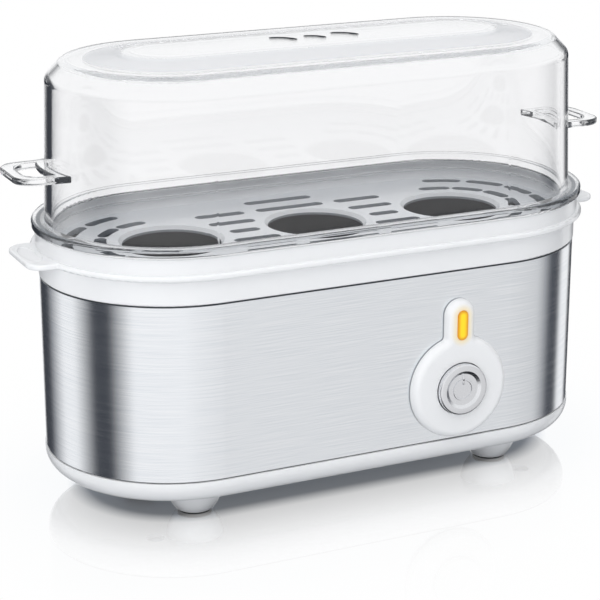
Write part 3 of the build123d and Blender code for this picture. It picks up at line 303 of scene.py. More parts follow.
def from_lens(tree: Tree, centre: Triple) -> Socket:
    """Measures how far a point of the front is from the lens's middle line.

    Args:
        tree: Node tree of the material.
        centre: Middle of the lens, in metres.

    Returns:
        Socket with the distance, 1 on the lens's edge.
    """
    shifted = add_node(tree, "ShaderNodeVectorMath", {0: place_on(tree), 1: centre}, operation="SUBTRACT")
    place = shifted.outputs["Vector"]
    half_line = LENS_HALF_HEIGHT - LENS_HALF_WIDTH
    away = from_line(tree, axis_of(tree, place, "Z"), axis_of(tree, place, "X"), half_line)
    return calculate(tree, "MULTIPLY", away, scale_for(LENS_HALF_WIDTH))


@dataclass(frozen=True)
class Finish:
    """A named finish that can make its own material."""

    name: str

    def shade(self, tree: Tree) -> Socket:
        """Adds the finish's nodes and returns the shader's socket."""
        raise NotImplementedError

    def feeds(self, tree: Tree) -> dict[str, Socket]:
        """Names the sockets of the material's output, with what feeds each."""
        return {"Surface": self.shade(tree)}

    def build(self) -> bpy.types.Material:
        """Makes the material, once.

        Returns:
            The material, new or made before under this name.
        """
        made = bpy.data.materials.get(self.name)
        if made:
            return made
        material = bpy.data.materials.new(self.name)
        tree = empty_tree(material)
        add_node(tree, "ShaderNodeOutputMaterial", self.feeds(tree))
        return material


@dataclass(frozen=True)
class Moulded(Finish):
    """Moulded plastic or rubber: even colour, faint flow marks and the tool's own texture."""

    colour: str = "#F4F5F6"
    shade_colour: str = "#F1F2F3"
    roughness: float = 0.2
    grain: float = 0.8
    relief: float = 0.0015
    flow: float = 60.0
    ior: float = 1.53
    bump_strength: float = 0.5
    uneven_share: float = 0.08

    def tint(self, tree: Tree, flow: Socket) -> Socket:
        """Mixes the plastic's two shades by its flow marks and returns the colour's socket."""
        return blend(tree, flow, srgb(self.shade_colour), srgb(self.colour))

    def shade(self, tree: Tree) -> Socket:
        """Adds the plastic's nodes.

        Args:
            tree: Node tree of the material.

        Returns:
            The shader's socket.
        """
        flow = cloudy(tree, self.flow)
        surface = add_node(tree, "ShaderNodeBsdfPrincipled", {
            "Base Color": self.tint(tree, flow),
            "IOR": self.ior,
            "Normal": raised(tree, cloudy(tree, self.grain), self.relief, self.bump_strength),
            "Roughness": uneven(tree, flow, self.roughness, self.uneven_share)})
        return surface.outputs["BSDF"]


@dataclass(frozen=True)
class ShadedSeamHousing(Moulded):
    """White moulding whose sleeve below the band is painted dark grey: painted shade that shows as a line in
    the joints at the steel's edges.
    """

    # Painted shade: the dark grey of the sleeve below the band, seen in the joints at the steel's edges.
    seam_shade_colour: str = "#474A4F"
    seam_shade_top: float = 76.88

    def tint(self, tree: Tree, flow: Socket) -> Socket:
        """Darkens the plastic below the band with painted shade and returns the colour's socket."""
        below = calculate(tree, "LESS_THAN", height_of(tree), self.seam_shade_top * MM)
        return blend(tree, below, super().tint(tree, flow), srgb(self.seam_shade_colour))


@dataclass(frozen=True)
class SlottedTray(Moulded):
    """White moulding with its slot walls painted grey, as painted shade inside the slots."""

    # Painted shade: the grey of the slots' upright walls.
    slot_shade_colour: str = "#A4A8AE"
    cut_top: float = 86.7
    well_reach: float = 41.0

    def tint(self, tree: Tree, flow: Socket) -> Socket:
        """Greys the upright walls of the slots in the tray's floor with painted shade.

        Args:
            tree: Node tree of the material.
            flow: Pattern of the flow marks.

        Returns:
            Socket with the colour.
        """
        low = calculate(tree, "LESS_THAN", height_of(tree), self.cut_top * MM)
        inside = calculate(tree, "LESS_THAN", from_middle(tree), self.well_reach * MM)
        within = calculate(tree, "MULTIPLY", low, inside)
        cut = calculate(tree, "MULTIPLY", upright_faces(tree), within)
        return blend(tree, cut, super().tint(tree, flow), srgb(self.slot_shade_colour))


@dataclass(frozen=True)
class LitPanel(Moulded):
    """White moulding with a painted warm glow around the lens and a painted dark line of shade at its root.
    """

    # Painted shade: the dark line where the panel's root meets the steel.
    root_shade_colour: str = "#85888D"
    root_depth: float = -44.7
    # Painted light: the warm glow laid on the plastic around the lens.
    painted_glow_colour: str = "#FFE9AE"
    halo: float = 0.7
    halo_start: float = 0.95
    halo_end: float = 2.4
    centre: Triple = (0.0, 0.0, 0.0)

    def tint(self, tree: Tree, flow: Socket) -> Socket:
        """Paints a warm glow on the plastic around the lens and a line of shade where it meets the steel.

        Args:
            tree: Node tree of the material.
            flow: Pattern of the flow marks.

        Returns:
            Socket with the colour.
        """
        away = from_lens(tree, self.centre)
        fade = remap(tree, away, self.halo_start, self.halo_end, self.halo, 0.0, "SMOOTHSTEP")
        warm = blend(tree, fade, super().tint(tree, flow), srgb(self.painted_glow_colour))
        depth = axis_of(tree, place_on(tree), "Y")
        root = calculate(tree, "GREATER_THAN", depth, self.root_depth * MM)
        return blend(tree, root, warm, srgb(self.root_shade_colour))


@dataclass(frozen=True)
class BareMetal(Finish):
    """Bare or plated metal: grain left by casting, rolling, turning or drawing."""

    colour: str
    shade_colour: str
    roughness: float
    grain: float
    relief: float
    octaves: float = 3.0
    bump_strength: float = 0.6
    uneven_share: float = 0.15

    def shade(self, tree: Tree) -> Socket:
        """Adds the metal's nodes.

        Args:
            tree: Node tree of the material.

        Returns:
            The shader's socket.
        """
        grain = cloudy(tree, self.grain, detail=self.octaves)
        surface = add_node(tree, "ShaderNodeBsdfPrincipled", {
            "Base Color": blend(tree, grain, srgb(self.shade_colour), srgb(self.colour)),
            "Metallic": 1.0,
            "Normal": raised(tree, grain, self.relief, self.bump_strength),
            "Roughness": uneven(tree, grain, self.roughness, self.uneven_share)})
        return surface.outputs["BSDF"]


@dataclass(frozen=True)
class BrushedSteel(Finish):
    """Stainless steel strip, brushed along its length, so reflections stretch up and down."""

    colour: str = "#F8FAFC"
    shade_colour: str = "#E6EAEE"
    roughness: float = 0.2
    line: float = 0.32
    line_length: float = 22.0
    relief: float = 0.0005
    octaves: float = 4.0
    bump_strength: float = 0.5
    uneven_share: float = 0.15
    anisotropy: float = 0.75
    quarter_turn: float = 0.25

    def shade(self, tree: Tree) -> Socket:
        """Adds the steel's nodes.

        Args:
            tree: Node tree of the material.

        Returns:
            The shader's socket.
        """
        # Real lines are a few hundredths of a millimetre, drawn here as coarse as the render can show.
        run = self.line_length / self.line
        lines = cloudy(tree, self.line, (run, run, 1.0), self.octaves)
        streaks = remap(tree, lines, PATTERN_LOW, PATTERN_HIGH)
        along = add_node(tree, "ShaderNodeTangent", direction_type="RADIAL", axis="Z")
        surface = add_node(tree, "ShaderNodeBsdfPrincipled", {
            "Base Color": blend(tree, streaks, srgb(self.shade_colour), srgb(self.colour)),
            "Metallic": 1.0,
            "Normal": raised(tree, lines, self.relief, self.bump_strength),
            "Roughness": uneven(tree, lines, self.roughness, self.uneven_share),
            "Anisotropic": self.anisotropy,
            "Anisotropic Rotation": self.quarter_turn,
            "Tangent": along.outputs["Tangent"]})
        return surface.outputs["BSDF"]


@dataclass(frozen=True)
class ClearPlastic(Finish):
    """Clear moulded plastic: polished faces, and a grey cast where the light runs far inside the wall."""

    colour: str = "#FFFFFF"
    shadow_colour: str = "#DEE1E4"
    depth_colour: str = "#CDD1D6"
    depth: float = 60.0
    roughness: float = 0.01
    ior: float = 1.52
    ripple: float = 18.0
    relief: float = 0.01
    bump_strength: float = 0.4
    uneven_share: float = 0.4
    # Painted light: the glow shown after a few turns inside the wall, bright high up and dark low down.
    painted_caught_high: str = "#FAFBFC"
    painted_caught_low: str = "#2E3238"
    caught_rise: Pair = (139.0, 144.0)
    caught_turns: float = 3.5

    def shade(self, tree: Tree) -> Socket:
        """Adds the clear plastic's nodes.

        Args:
            tree: Node tree of the material.

        Returns:
            The shader's socket.
        """
        ripple = cloudy(tree, self.ripple)
        surface = add_node(tree, "ShaderNodeBsdfPrincipled", {
            "Base Color": srgb(self.colour),
            "Transmission Weight": 1.0,
            "IOR": self.ior,
            "Normal": raised(tree, ripple, self.relief, self.bump_strength),
            "Roughness": uneven(tree, ripple, self.roughness, self.uneven_share)})
        path = add_node(tree, "ShaderNodeLightPath").outputs
        # After a few turns inside the wall, the plastic shows a painted glow in place of the light that
        # would come out at a far edge: a painted highlight towards the level top, painted shade towards the
        # upright ends.
        low, high = self.caught_rise
        climb = remap(tree, height_of(tree), low * MM, high * MM)
        painted_caught_colour = blend(tree, climb, srgb(self.painted_caught_low), srgb(self.painted_caught_high))
        painted_caught_glow = add_node(tree, "ShaderNodeEmission", {"Color": painted_caught_colour, "Strength": 1.0})
        caught = calculate(tree, "GREATER_THAN", path["Glossy Depth"], self.caught_turns)
        held = overlay(tree, caught, surface.outputs["BSDF"], painted_caught_glow.outputs["Emission"])
        through = add_node(tree, "ShaderNodeBsdfTransparent", {"Color": srgb(self.shadow_colour)})
        return overlay(tree, path["Is Shadow Ray"], held, through.outputs["BSDF"])

    def feeds(self, tree: Tree) -> dict[str, Socket]:
        """Names the output's sockets, with the grey cast of the plastic's depth.

        Args:
            tree: Node tree of the material.

        Returns:
            Names of the output's sockets, with what feeds each.
        """
        cast = add_node(tree, "ShaderNodeVolumeAbsorption", {
            "Color": srgb(self.depth_colour), "Density": scale_for(self.depth)})
        return super().feeds(tree) | {"Volume": cast.outputs["Volume"]}


@dataclass(frozen=True)
class ClearLid(ClearPlastic):
    """The lid's clear plastic, with painted dark shade on the vents' walls and painted grey shade on the
    slope of the crown.
    """

    shadow_colour: str = "#C9CED4"
    slope_low: float = 148.52
    slope_high: float = 150.45
    # Painted shade: a rough grey opaque face mixed over the slope of the crown.
    slope_shade_colour: str = "#CBCED3"
    slope_share: float = 0.36
    slope_roughness: float = 0.4
    vent_bottom: float = 147.9
    # Painted shade: the dark grey of the vents' upright walls.
    vent_shade_colour: str = "#3F4246"
    vent_roughness: float = 0.6

    def opaque(self, tree: Tree, colour: str, roughness: float) -> Socket:
        """Adds an opaque face of the lid's plastic, which carries painted shade.

        Args:
            tree: Node tree of the material.
            colour: Colour of the face.
            roughness: Roughness of the face.

        Returns:
            The shader's socket.
        """
        face = add_node(tree, "ShaderNodeBsdfPrincipled", {
            "Base Color": srgb(colour), "Roughness": roughness, "IOR": self.ior})
        return face.outputs["BSDF"]

    def shade(self, tree: Tree) -> Socket:
        """Adds the lid's nodes.

        Args:
            tree: Node tree of the material.

        Returns:
            The shader's socket.
        """
        rise = height_of(tree)
        middle, half = (self.slope_low + self.slope_high) / 2, (self.slope_high - self.slope_low) / 2
        slope = calculate(tree, "COMPARE", rise, middle * MM, half * MM)
        slope_shade_share = calculate(tree, "MULTIPLY", slope, self.slope_share)
        shaded_slope = self.opaque(tree, self.slope_shade_colour, self.slope_roughness)
        ring = overlay(tree, slope_shade_share, super().shade(tree), shaded_slope)
        high = calculate(tree, "GREATER_THAN", rise, self.vent_bottom * MM)
        vents = calculate(tree, "MULTIPLY", upright_faces(tree), high)
        return overlay(tree, vents, ring, self.opaque(tree, self.vent_shade_colour, self.vent_roughness))


@dataclass(frozen=True)
class AmberLens(Finish):
    """Tinted polycarbonate lens lit from behind: yellow in its middle, orange towards its edge."""

    core: str = "#E6C200"
    edge: str = "#C48400"
    core_share: float = 0.25
    glow: float = 0.45
    roughness: float = 0.18
    ior: float = 1.58
    centre: Triple = (0.0, 0.0, 0.0)

    def shade(self, tree: Tree) -> Socket:
        """Adds the lens's nodes.

        Args:
            tree: Node tree of the material.

        Returns:
            The shader's socket.
        """
        fade = remap(tree, from_lens(tree, self.centre), self.core_share, 1.0, kind="SMOOTHSTEP")
        tint = blend(tree, fade, srgb(self.core), srgb(self.edge))
        surface = add_node(tree, "ShaderNodeBsdfPrincipled", {
            "Base Color": tint,
            "Roughness": self.roughness,
            "IOR": self.ior,
            "Emission Color": tint,
            "Emission Strength": self.glow})
        return surface.outputs["BSDF"]


@dataclass(frozen=True)
class WovenSleeve(Finish):
    """Braided glass fibre: two crossing sets of yarn."""

    colour: str = "#EDE9DC"
    shade_colour: str = "#C4BDA8"
    yarn: float = 0.8
    yarn_angle: float = 45.0
    relief: float = 0.1
    bump_strength: float = 1.0
    roughness: float = 0.8

    def yarns(self, tree: Tree, angle: float) -> Socket:
        """Adds one set of yarns.

        Args:
            tree: Node tree of the material.
            angle: Turn of the yarns, in degrees.

        Returns:
            Socket with the pattern, from 0 to 1.
        """
        turn = (math.radians(angle), math.radians(angle), 0.0)
        turned = add_node(tree, "ShaderNodeMapping", {"Vector": place_on(tree), "Rotation": turn})
        waves = add_node(tree, "ShaderNodeTexWave", {
            "Vector": turned.outputs["Vector"], "Scale": scale_for(self.yarn) / math.tau})
        return waves.outputs["Fac"]

    def shade(self, tree: Tree) -> Socket:
        """Adds the braid's nodes.

        Args:
            tree: Node tree of the material.

        Returns:
            The shader's socket.
        """
        right, left = self.yarns(tree, self.yarn_angle), self.yarns(tree, -self.yarn_angle)
        weave = calculate(tree, "MAXIMUM", right, left)
        surface = add_node(tree, "ShaderNodeBsdfPrincipled", {
            "Base Color": blend(tree, weave, srgb(self.shade_colour), srgb(self.colour)),
            "Roughness": self.roughness,
            "Normal": raised(tree, weave, self.relief, self.bump_strength)})
        return surface.outputs["BSDF"]


@dataclass(frozen=True)
class PolishedFloor(Finish):
    """Polished white sheet that mirrors the cooker's foot and fades into the background, darkened close to
    the cooker by painted shade.
    """

    # Distance from the middle line in millimetres, with the share of white over the mirror there.
    mirror_fade: tuple[Pair, ...] = (
        (12.0, 0.04), (31.0, 0.1), (38.0, 0.55), (61.0, 0.82), (76.0, 0.91), (100.0, 0.97), (150.0, 1.0))
    mirror_shade_edge: Pair = (30.0, 38.0)
    # Painted shade: the mirror is tinted darker and bluer out to the edge's distance from the middle line.
    mirror_shade_near: str = "#A3AFBF"
    mirror_far: str = "#FAFCFE"
    mirror_roughness: float = 0.03
    # Painted shade: the sheet's dull colour, which all rays but the camera's see, darkens close to the
    # cooker.
    dull_shade_near: str = "#4E5660"
    dull_far: str = "#F4F6F8"
    background: str = "#FFFFFF"

    def whiteness(self, tree: Tree, away: Socket) -> Socket:
        """Adds the fade from the mirror to the white background.

        Args:
            tree: Node tree of the material.
            away: Distance from the cooker's middle line.

        Returns:
            Socket with the share of white.
        """
        furthest = self.mirror_fade[-1][0]
        reach = calculate(tree, "MULTIPLY", away, scale_for(furthest))
        ramp = add_node(tree, "ShaderNodeValToRGB", {"Fac": reach})
        set_stops(ramp, [(at / furthest, (white, white, white, 1.0)) for at, white in self.mirror_fade])
        return ramp.outputs["Color"]

    def shade(self, tree: Tree) -> Socket:
        """Adds the floor's nodes.

        Args:
            tree: Node tree of the material.

        Returns:
            The shader's socket.
        """
        away = from_middle(tree)
        white = self.whiteness(tree, away)
        start, end = self.mirror_shade_edge
        cool = remap(tree, away, start * MM, end * MM)
        mirror = add_node(tree, "ShaderNodeBsdfGlossy", {
            "Color": blend(tree, cool, srgb(self.mirror_shade_near), srgb(self.mirror_far)),
            "Roughness": self.mirror_roughness})
        glow = add_node(tree, "ShaderNodeEmission", {"Color": srgb(self.background), "Strength": 1.0})
        polished = overlay(tree, white, mirror.outputs["BSDF"], glow.outputs["Emission"])
        dull = add_node(tree, "ShaderNodeBsdfDiffuse", {
            "Color": blend(tree, white, srgb(self.dull_shade_near), srgb(self.dull_far))})
        seen = add_node(tree, "ShaderNodeLightPath").outputs["Is Camera Ray"]
        sheet = overlay(tree, seen, dull.outputs["BSDF"], polished)
        # The sheet has only an upper face, so the cooker's underside shows from below.
        below = add_node(tree, "ShaderNodeNewGeometry").outputs["Backfacing"]
        return overlay(tree, below, sheet, add_node(tree, "ShaderNodeBsdfTransparent").outputs["BSDF"])


lens_low, lens_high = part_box("indicator_lens")
LENS_CENTRE = tuple((lens_low + lens_high) / 2)


class Material(Enum):
    """Every finish on the cooker and under it."""

    # ABS from a polished mould: smooth, bright white, with a soft gloss.
    WHITE_PLASTIC = Moulded("white_abs_moulded")
    # The same ABS with painted grey shade inside its slots.
    TRAY_PLASTIC = SlottedTray("white_abs_slotted")
    # The same ABS with painted shade below its band, which shows as a dark line in the joints at the steel's
    # edges.
    HOUSING_PLASTIC = ShadedSeamHousing("white_abs_seam_shade")
    # The same ABS with a painted glow of the lamp's light around the lens and painted shade at its root.
    PANEL_PLASTIC = LitPanel("white_abs_lit", centre=LENS_CENTRE)
    # Styrene acrylonitrile from a polished mould: clear as glass, grey on its edges, with painted shade in
    # its vents and on the slope of its crown.
    CLEAR_PLASTIC = ClearLid("clear_san_moulded")
    # 430 stainless strip, belt brushed: fine level lines and reflections drawn out upright.
    BRUSHED_STEEL = BrushedSteel("stainless_steel_brushed")
    # ABS with a satin nickel plate: silver with blurred reflections and hardly any grain.
    PLATED_PLASTIC = BareMetal(
        "satin_nickel_plated_abs", "#EBECEE", "#E4E5E8", roughness=0.24, grain=0.6, relief=0.0004)
    # Polycarbonate tinted amber and lit by the lamp behind it.
    AMBER_PLASTIC = AmberLens("amber_polycarbonate_lit", centre=LENS_CENTRE)
    # Die-cast aluminium with a fine granular skin, its grey darkened as painted shade for the slots above
    # it.
    CAST_ALUMINIUM = BareMetal(
        "cast_aluminium_shaded_dark", "#66686D", "#55575C", roughness=0.42, grain=0.5, relief=0.015)
    # Pressed aluminium cap: brighter and smoother than the casting.
    CAP_ALUMINIUM = BareMetal(
        "pressed_aluminium", "#D4D6D8", "#C2C4C7", roughness=0.3, grain=0.7, relief=0.004)
    # Silicone from a matt mould: soft warm grey.
    SILICONE = Moulded(
        "silicone_moulded", "#D9D6D0", "#C9C6C0", roughness=0.55, grain=0.5, relief=0.006, flow=12.0,
        ior=1.41)
    # Nitrile rubber from a matt mould: dark, with a dusty grain.
    FOOT_RUBBER = Moulded(
        "nitrile_rubber_moulded", "#3A3B3D", "#2B2C2E", roughness=0.7, grain=0.4, relief=0.02, flow=6.0,
        ior=1.52)
    # Soft PVC cord bush from a matt mould: pale grey.
    GLAND_RUBBER = Moulded(
        "soft_pvc_moulded", "#DCDDDD", "#CFD0D0", roughness=0.5, grain=0.5, relief=0.01, flow=10.0)
    # Zinc plated steel: bluish silver with a slight mottle.
    ZINC_STEEL = BareMetal(
        "zinc_plated_steel", "#C4C9CF", "#A9AFB8", roughness=0.32, grain=1.2, relief=0.006)
    # Hard drawn spring wire: dark bright grey.
    SPRING_STEEL = BareMetal(
        "drawn_spring_steel", "#9A9DA1", "#83868B", roughness=0.28, grain=0.3, relief=0.003)
    # Sheathed heater tube, blued by its heat.
    ELEMENT_STEEL = BareMetal(
        "heat_blued_steel", "#8D8A88", "#6A6B72", roughness=0.4, grain=4.0, relief=0.006)
    # Stamped brass: warm yellow with a faint mottle from rolling.
    BRASS = BareMetal(
        "stamped_brass", "#D9B866", "#C19C4C", roughness=0.3, grain=0.6, relief=0.004)
    # Phenolic resin: black, hard and slightly glossy, with a mineral grain.
    BLACK_RESIN = Moulded(
        "phenolic_resin_moulded", "#232324", "#1A1A1B", roughness=0.35, grain=0.6, relief=0.008, flow=8.0,
        ior=1.6)
    # Tinned copper fuse case and tails.
    FUSE_METAL = BareMetal(
        "tinned_copper", "#D2D1CC", "#B9B8B2", roughness=0.34, grain=0.8, relief=0.006)
    # Braided glass fibre sleeve: off white, with crossing yarns.
    GLASS_FIBRE = WovenSleeve("glass_fibre_braided")
    # Lamp bulb of soda glass, warm from its filament.
    LAMP_GLASS = ClearPlastic(
        "soda_glass_blown", "#FFE2B8", shadow_colour="#FFE2B8", depth_colour="#FFC070", depth=6.0)
    # Nylon, moulded in grey: waxy and slightly rough.
    GREY_NYLON = Moulded(
        "grey_nylon_moulded", "#B9BCBE", "#A9ACAF", roughness=0.45, grain=0.5, relief=0.01, flow=9.0)
    # Nylon, moulded without pigment: waxy cream white.
    CONNECTOR_NYLON = Moulded(
        "natural_nylon_moulded", "#ECE8DC", "#DFDACB", roughness=0.45, grain=0.5, relief=0.01, flow=9.0)
    # Extruded silicone wire cover in the three mains colours.
    BROWN_WIRE = Moulded(
        "brown_wire_extruded", "#6B4126", "#59351E", roughness=0.45, grain=0.6, relief=0.006, flow=5.0,
        ior=1.5)
    BLUE_WIRE = Moulded(
        "blue_wire_extruded", "#2F62B0", "#264F92", roughness=0.45, grain=0.6, relief=0.006, flow=5.0,
        ior=1.5)
    GREEN_WIRE = Moulded(
        "green_wire_extruded", "#3F9A45", "#C9B93A", roughness=0.45, grain=0.6, relief=0.006, flow=3.0,
        ior=1.5)
    # White acrylic sheet, polished: a mirror darkened by painted shade close by, and plain white further
    # out.
    FLOOR_SHEET = PolishedFloor("polished_white_floor")


def dress(material: Material, *nodes: str) -> None:
    """Gives solids their finish and reports them.

    Args:
        material: Finish that they take.
        nodes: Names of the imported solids.
    """
    for node in nodes:
        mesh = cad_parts[node].data
        mesh.materials.clear()
        mesh.materials.append(material.value.build())
        log.info("dressed %s in %s", node, material.value.name)


@dataclass
class Lid:
    """Clear dome with its two finger loops."""

    def dress(self) -> None:
        """Makes the dome clear."""
        dress(Material.CLEAR_PLASTIC, "lid_dome")


@dataclass
class Tray:
    """Tray with three round seats, which lifts out."""

    def dress(self) -> None:
        """Makes the tray white."""
        dress(Material.TRAY_PLASTIC, "egg_tray")


@dataclass
class Body:
    """Housing, steel wrap, bottom cover and feet."""

    corners: tuple[str, ...] = ("front_left", "front_right", "rear_left", "rear_right")

    def dress(self) -> None:
        """Gives the casings, feet and their screws their finishes."""
        dress(Material.WHITE_PLASTIC, "base_cover", *(f"foot_{corner}" for corner in self.corners))
        dress(Material.HOUSING_PLASTIC, "housing")
        dress(Material.BRUSHED_STEEL, "steel_shell")
        dress(Material.FOOT_RUBBER, *(f"foot_pad_{corner}" for corner in self.corners))
        dress(Material.ZINC_STEEL, "base_screws")
        dress(Material.GLAND_RUBBER, "cord_gland")


@dataclass
class Button:
    """Plated push button: a flat rim, a dish with a gentle slope, and a raised ring and bar."""

    node: str = "power_button"
    body: str = "button"
    slot: str = "plated_plastic"
    sides: int = 96
    edge_round: float = 0.6
    edge_steps: int = 4
    rim: float = 2.3
    slope_run: float = 1.1
    slope_fall: float = 0.6
    ring_outer: float = 3.9
    ring_stroke: float = 0.8
    ring_edge: float = 0.14
    ring_rise: float = 0.3
    bar_length: float = 3.4
    bar_steps: int = 2
    wall: float = 1.4
    hollow: float = 4.5
    hollow_taper: float = 0.6
    level_facing: float = 0.99
    smooth_angle: float = 25.0

    def pick(self, piece: bpy.types.Object, towards: float) -> None:
        """Goes into edit mode with only the largest level face on one side of the button selected.

        Args:
            piece: Button being modelled.
            towards: Sign of Y on the wanted side.
        """
        level = [face for face in piece.data.polygons if face.normal.y * towards > self.level_facing]
        wanted = max(level, key=lambda face: face.area).index
        bpy.ops.object.mode_set(mode="EDIT")
        bpy.ops.mesh.select_mode(type="FACE")
        bpy.ops.mesh.select_all(action="DESELECT")
        bpy.ops.object.mode_set(mode="OBJECT")
        piece.data.polygons[wanted].select = True
        bpy.ops.object.mode_set(mode="EDIT")

    def turn_cap(self) -> bpy.types.Object:
        """Models the cap from a cylinder of the solid's own size.

        Returns:
            The cap, in object mode.
        """
        low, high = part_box(self.node)
        radius = (high.x - low.x) / 2
        bpy.ops.object.select_all(action="DESELECT")
        bpy.ops.mesh.primitive_cylinder_add(
            vertices=self.sides, radius=radius, depth=high.y - low.y, location=(low + high) / 2,
            rotation=(math.pi / 2, 0.0, 0.0))
        cap = bpy.context.object
        bpy.ops.object.transform_apply(location=True, rotation=True, scale=True)
        self.pick(cap, 1.0)
        bpy.ops.mesh.inset(thickness=self.wall * MM)
        bpy.ops.mesh.inset(thickness=self.hollow_taper * MM, depth=-self.hollow * MM)
        bpy.ops.object.mode_set(mode="OBJECT")
        self.pick(cap, -1.0)
        bpy.ops.mesh.bevel(offset=self.edge_round * MM, segments=self.edge_steps)
        bpy.ops.object.mode_set(mode="OBJECT")
        self.pick(cap, -1.0)
        bpy.ops.mesh.inset(thickness=(self.rim - self.edge_round) * MM)
        bpy.ops.mesh.inset(thickness=self.slope_run * MM, depth=-self.slope_fall * MM)
        bpy.ops.mesh.inset(thickness=radius - (self.rim + self.slope_run + self.ring_outer) * MM)
        bpy.ops.mesh.inset(thickness=self.ring_edge * MM, depth=self.ring_rise * MM)
        bpy.ops.mesh.inset(thickness=(self.ring_stroke - 2 * self.ring_edge) * MM)
        bpy.ops.mesh.inset(thickness=self.ring_edge * MM, depth=-self.ring_rise * MM)
        bpy.ops.object.mode_set(mode="OBJECT")
        return cap

    def add_bar(self, cap: bpy.types.Object) -> None:
        """Adds the bar across the top of the ring and joins it to the cap.

        Args:
            cap: The turned cap.
        """
        low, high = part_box(self.node)
        middle = (low + high) / 2
        floor = low.y + self.slope_fall * MM
        rise = self.ring_outer - self.ring_stroke / 2
        bpy.ops.object.select_all(action="DESELECT")
        bpy.ops.mesh.primitive_cube_add(size=1.0, location=(middle.x, floor, middle.z + rise * MM))
        bar = bpy.context.object
        bar.scale = (self.ring_stroke * MM, 2 * self.ring_rise * MM, self.bar_length * MM)
        bpy.ops.object.transform_apply(location=True, rotation=True, scale=True)
        bpy.ops.object.mode_set(mode="EDIT")
        bpy.ops.mesh.select_all(action="SELECT")
        bpy.ops.mesh.bevel(offset=self.ring_edge * MM, segments=self.bar_steps)
        bpy.ops.object.mode_set(mode="OBJECT")
        cap.select_set(True)
        bpy.context.view_layer.objects.active = cap
        bpy.ops.object.join()

    def build(self) -> None:
        """Models the button, plates it and lets it stand for the solid."""
        cap = self.turn_cap()
        self.add_bar(cap)
        bpy.ops.object.shade_smooth_by_angle(angle=math.radians(self.smooth_angle))
        cap.name = "turned_button"
        cap.data.materials.append(Material.PLATED_PLASTIC.value.build())
        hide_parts(self.node)
        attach(cap, self.body)
        log.info("modelled %s in %s", cap.name, Material.PLATED_PLASTIC.value.name)


@dataclass
class Controls:
    """Panel, lens, lamp and the switch behind them, with the turned button."""

    def dress(self) -> None:
        """Gives the controls their finishes and puts in the button."""
        dress(Material.PANEL_PLASTIC, "control_panel")
        dress(Material.PLATED_PLASTIC, "power_button")
        Button().build()
        dress(Material.AMBER_PLASTIC, "indicator_lens")
        dress(Material.LAMP_GLASS, "indicator_lamp")
        dress(Material.GREY_NYLON, "switch_carrier", "switch_body")
        dress(Material.ZINC_STEEL, "panel_screws", "switch_nut")
        dress(Material.CONNECTOR_NYLON, "switch_plunger")
        dress(Material.SPRING_STEEL, "switch_spring")
        dress(Material.BRASS, "switch_terminals")


@dataclass
class Heater:
    """Water pan, element, thermostat and fuse."""

    def dress(self) -> None:
        """Gives the heating pieces their finishes."""
        dress(Material.CAST_ALUMINIUM, "heating_plate")
        dress(Material.SILICONE, "plate_seal")
        dress(Material.CAP_ALUMINIUM, "thermostat_cap")
        dress(Material.BLACK_RESIN, "thermostat_body")
        dress(Material.ELEMENT_STEEL, "heating_element")
        dress(Material.FUSE_METAL, "thermal_fuse")
        dress(Material.GLASS_FIBRE, "fuse_sleeve")
        dress(
            Material.ZINC_STEEL, "plate_brackets", "plate_nuts", "plate_washer", "plate_screws", "fuse_clip")
        dress(Material.BRASS, "earth_tag", "element_terminals", "thermostat_terminals", "fuse_crimps")


@dataclass
class Wiring:
    """Terminal block, connectors and the wires between them."""

    def dress(self) -> None:
        """Gives the wiring its finishes."""
        dress(Material.CONNECTOR_NYLON, "terminal_block", "wire_connectors")
        dress(Material.BRASS, "terminal_screws")
        dress(Material.BROWN_WIRE, "live_wire", "switch_wire", "fuse_wire", "element_wire")
        dress(Material.BLUE_WIRE, "neutral_wire", "lamp_wires")
        dress(Material.GREEN_WIRE, "earth_wire")


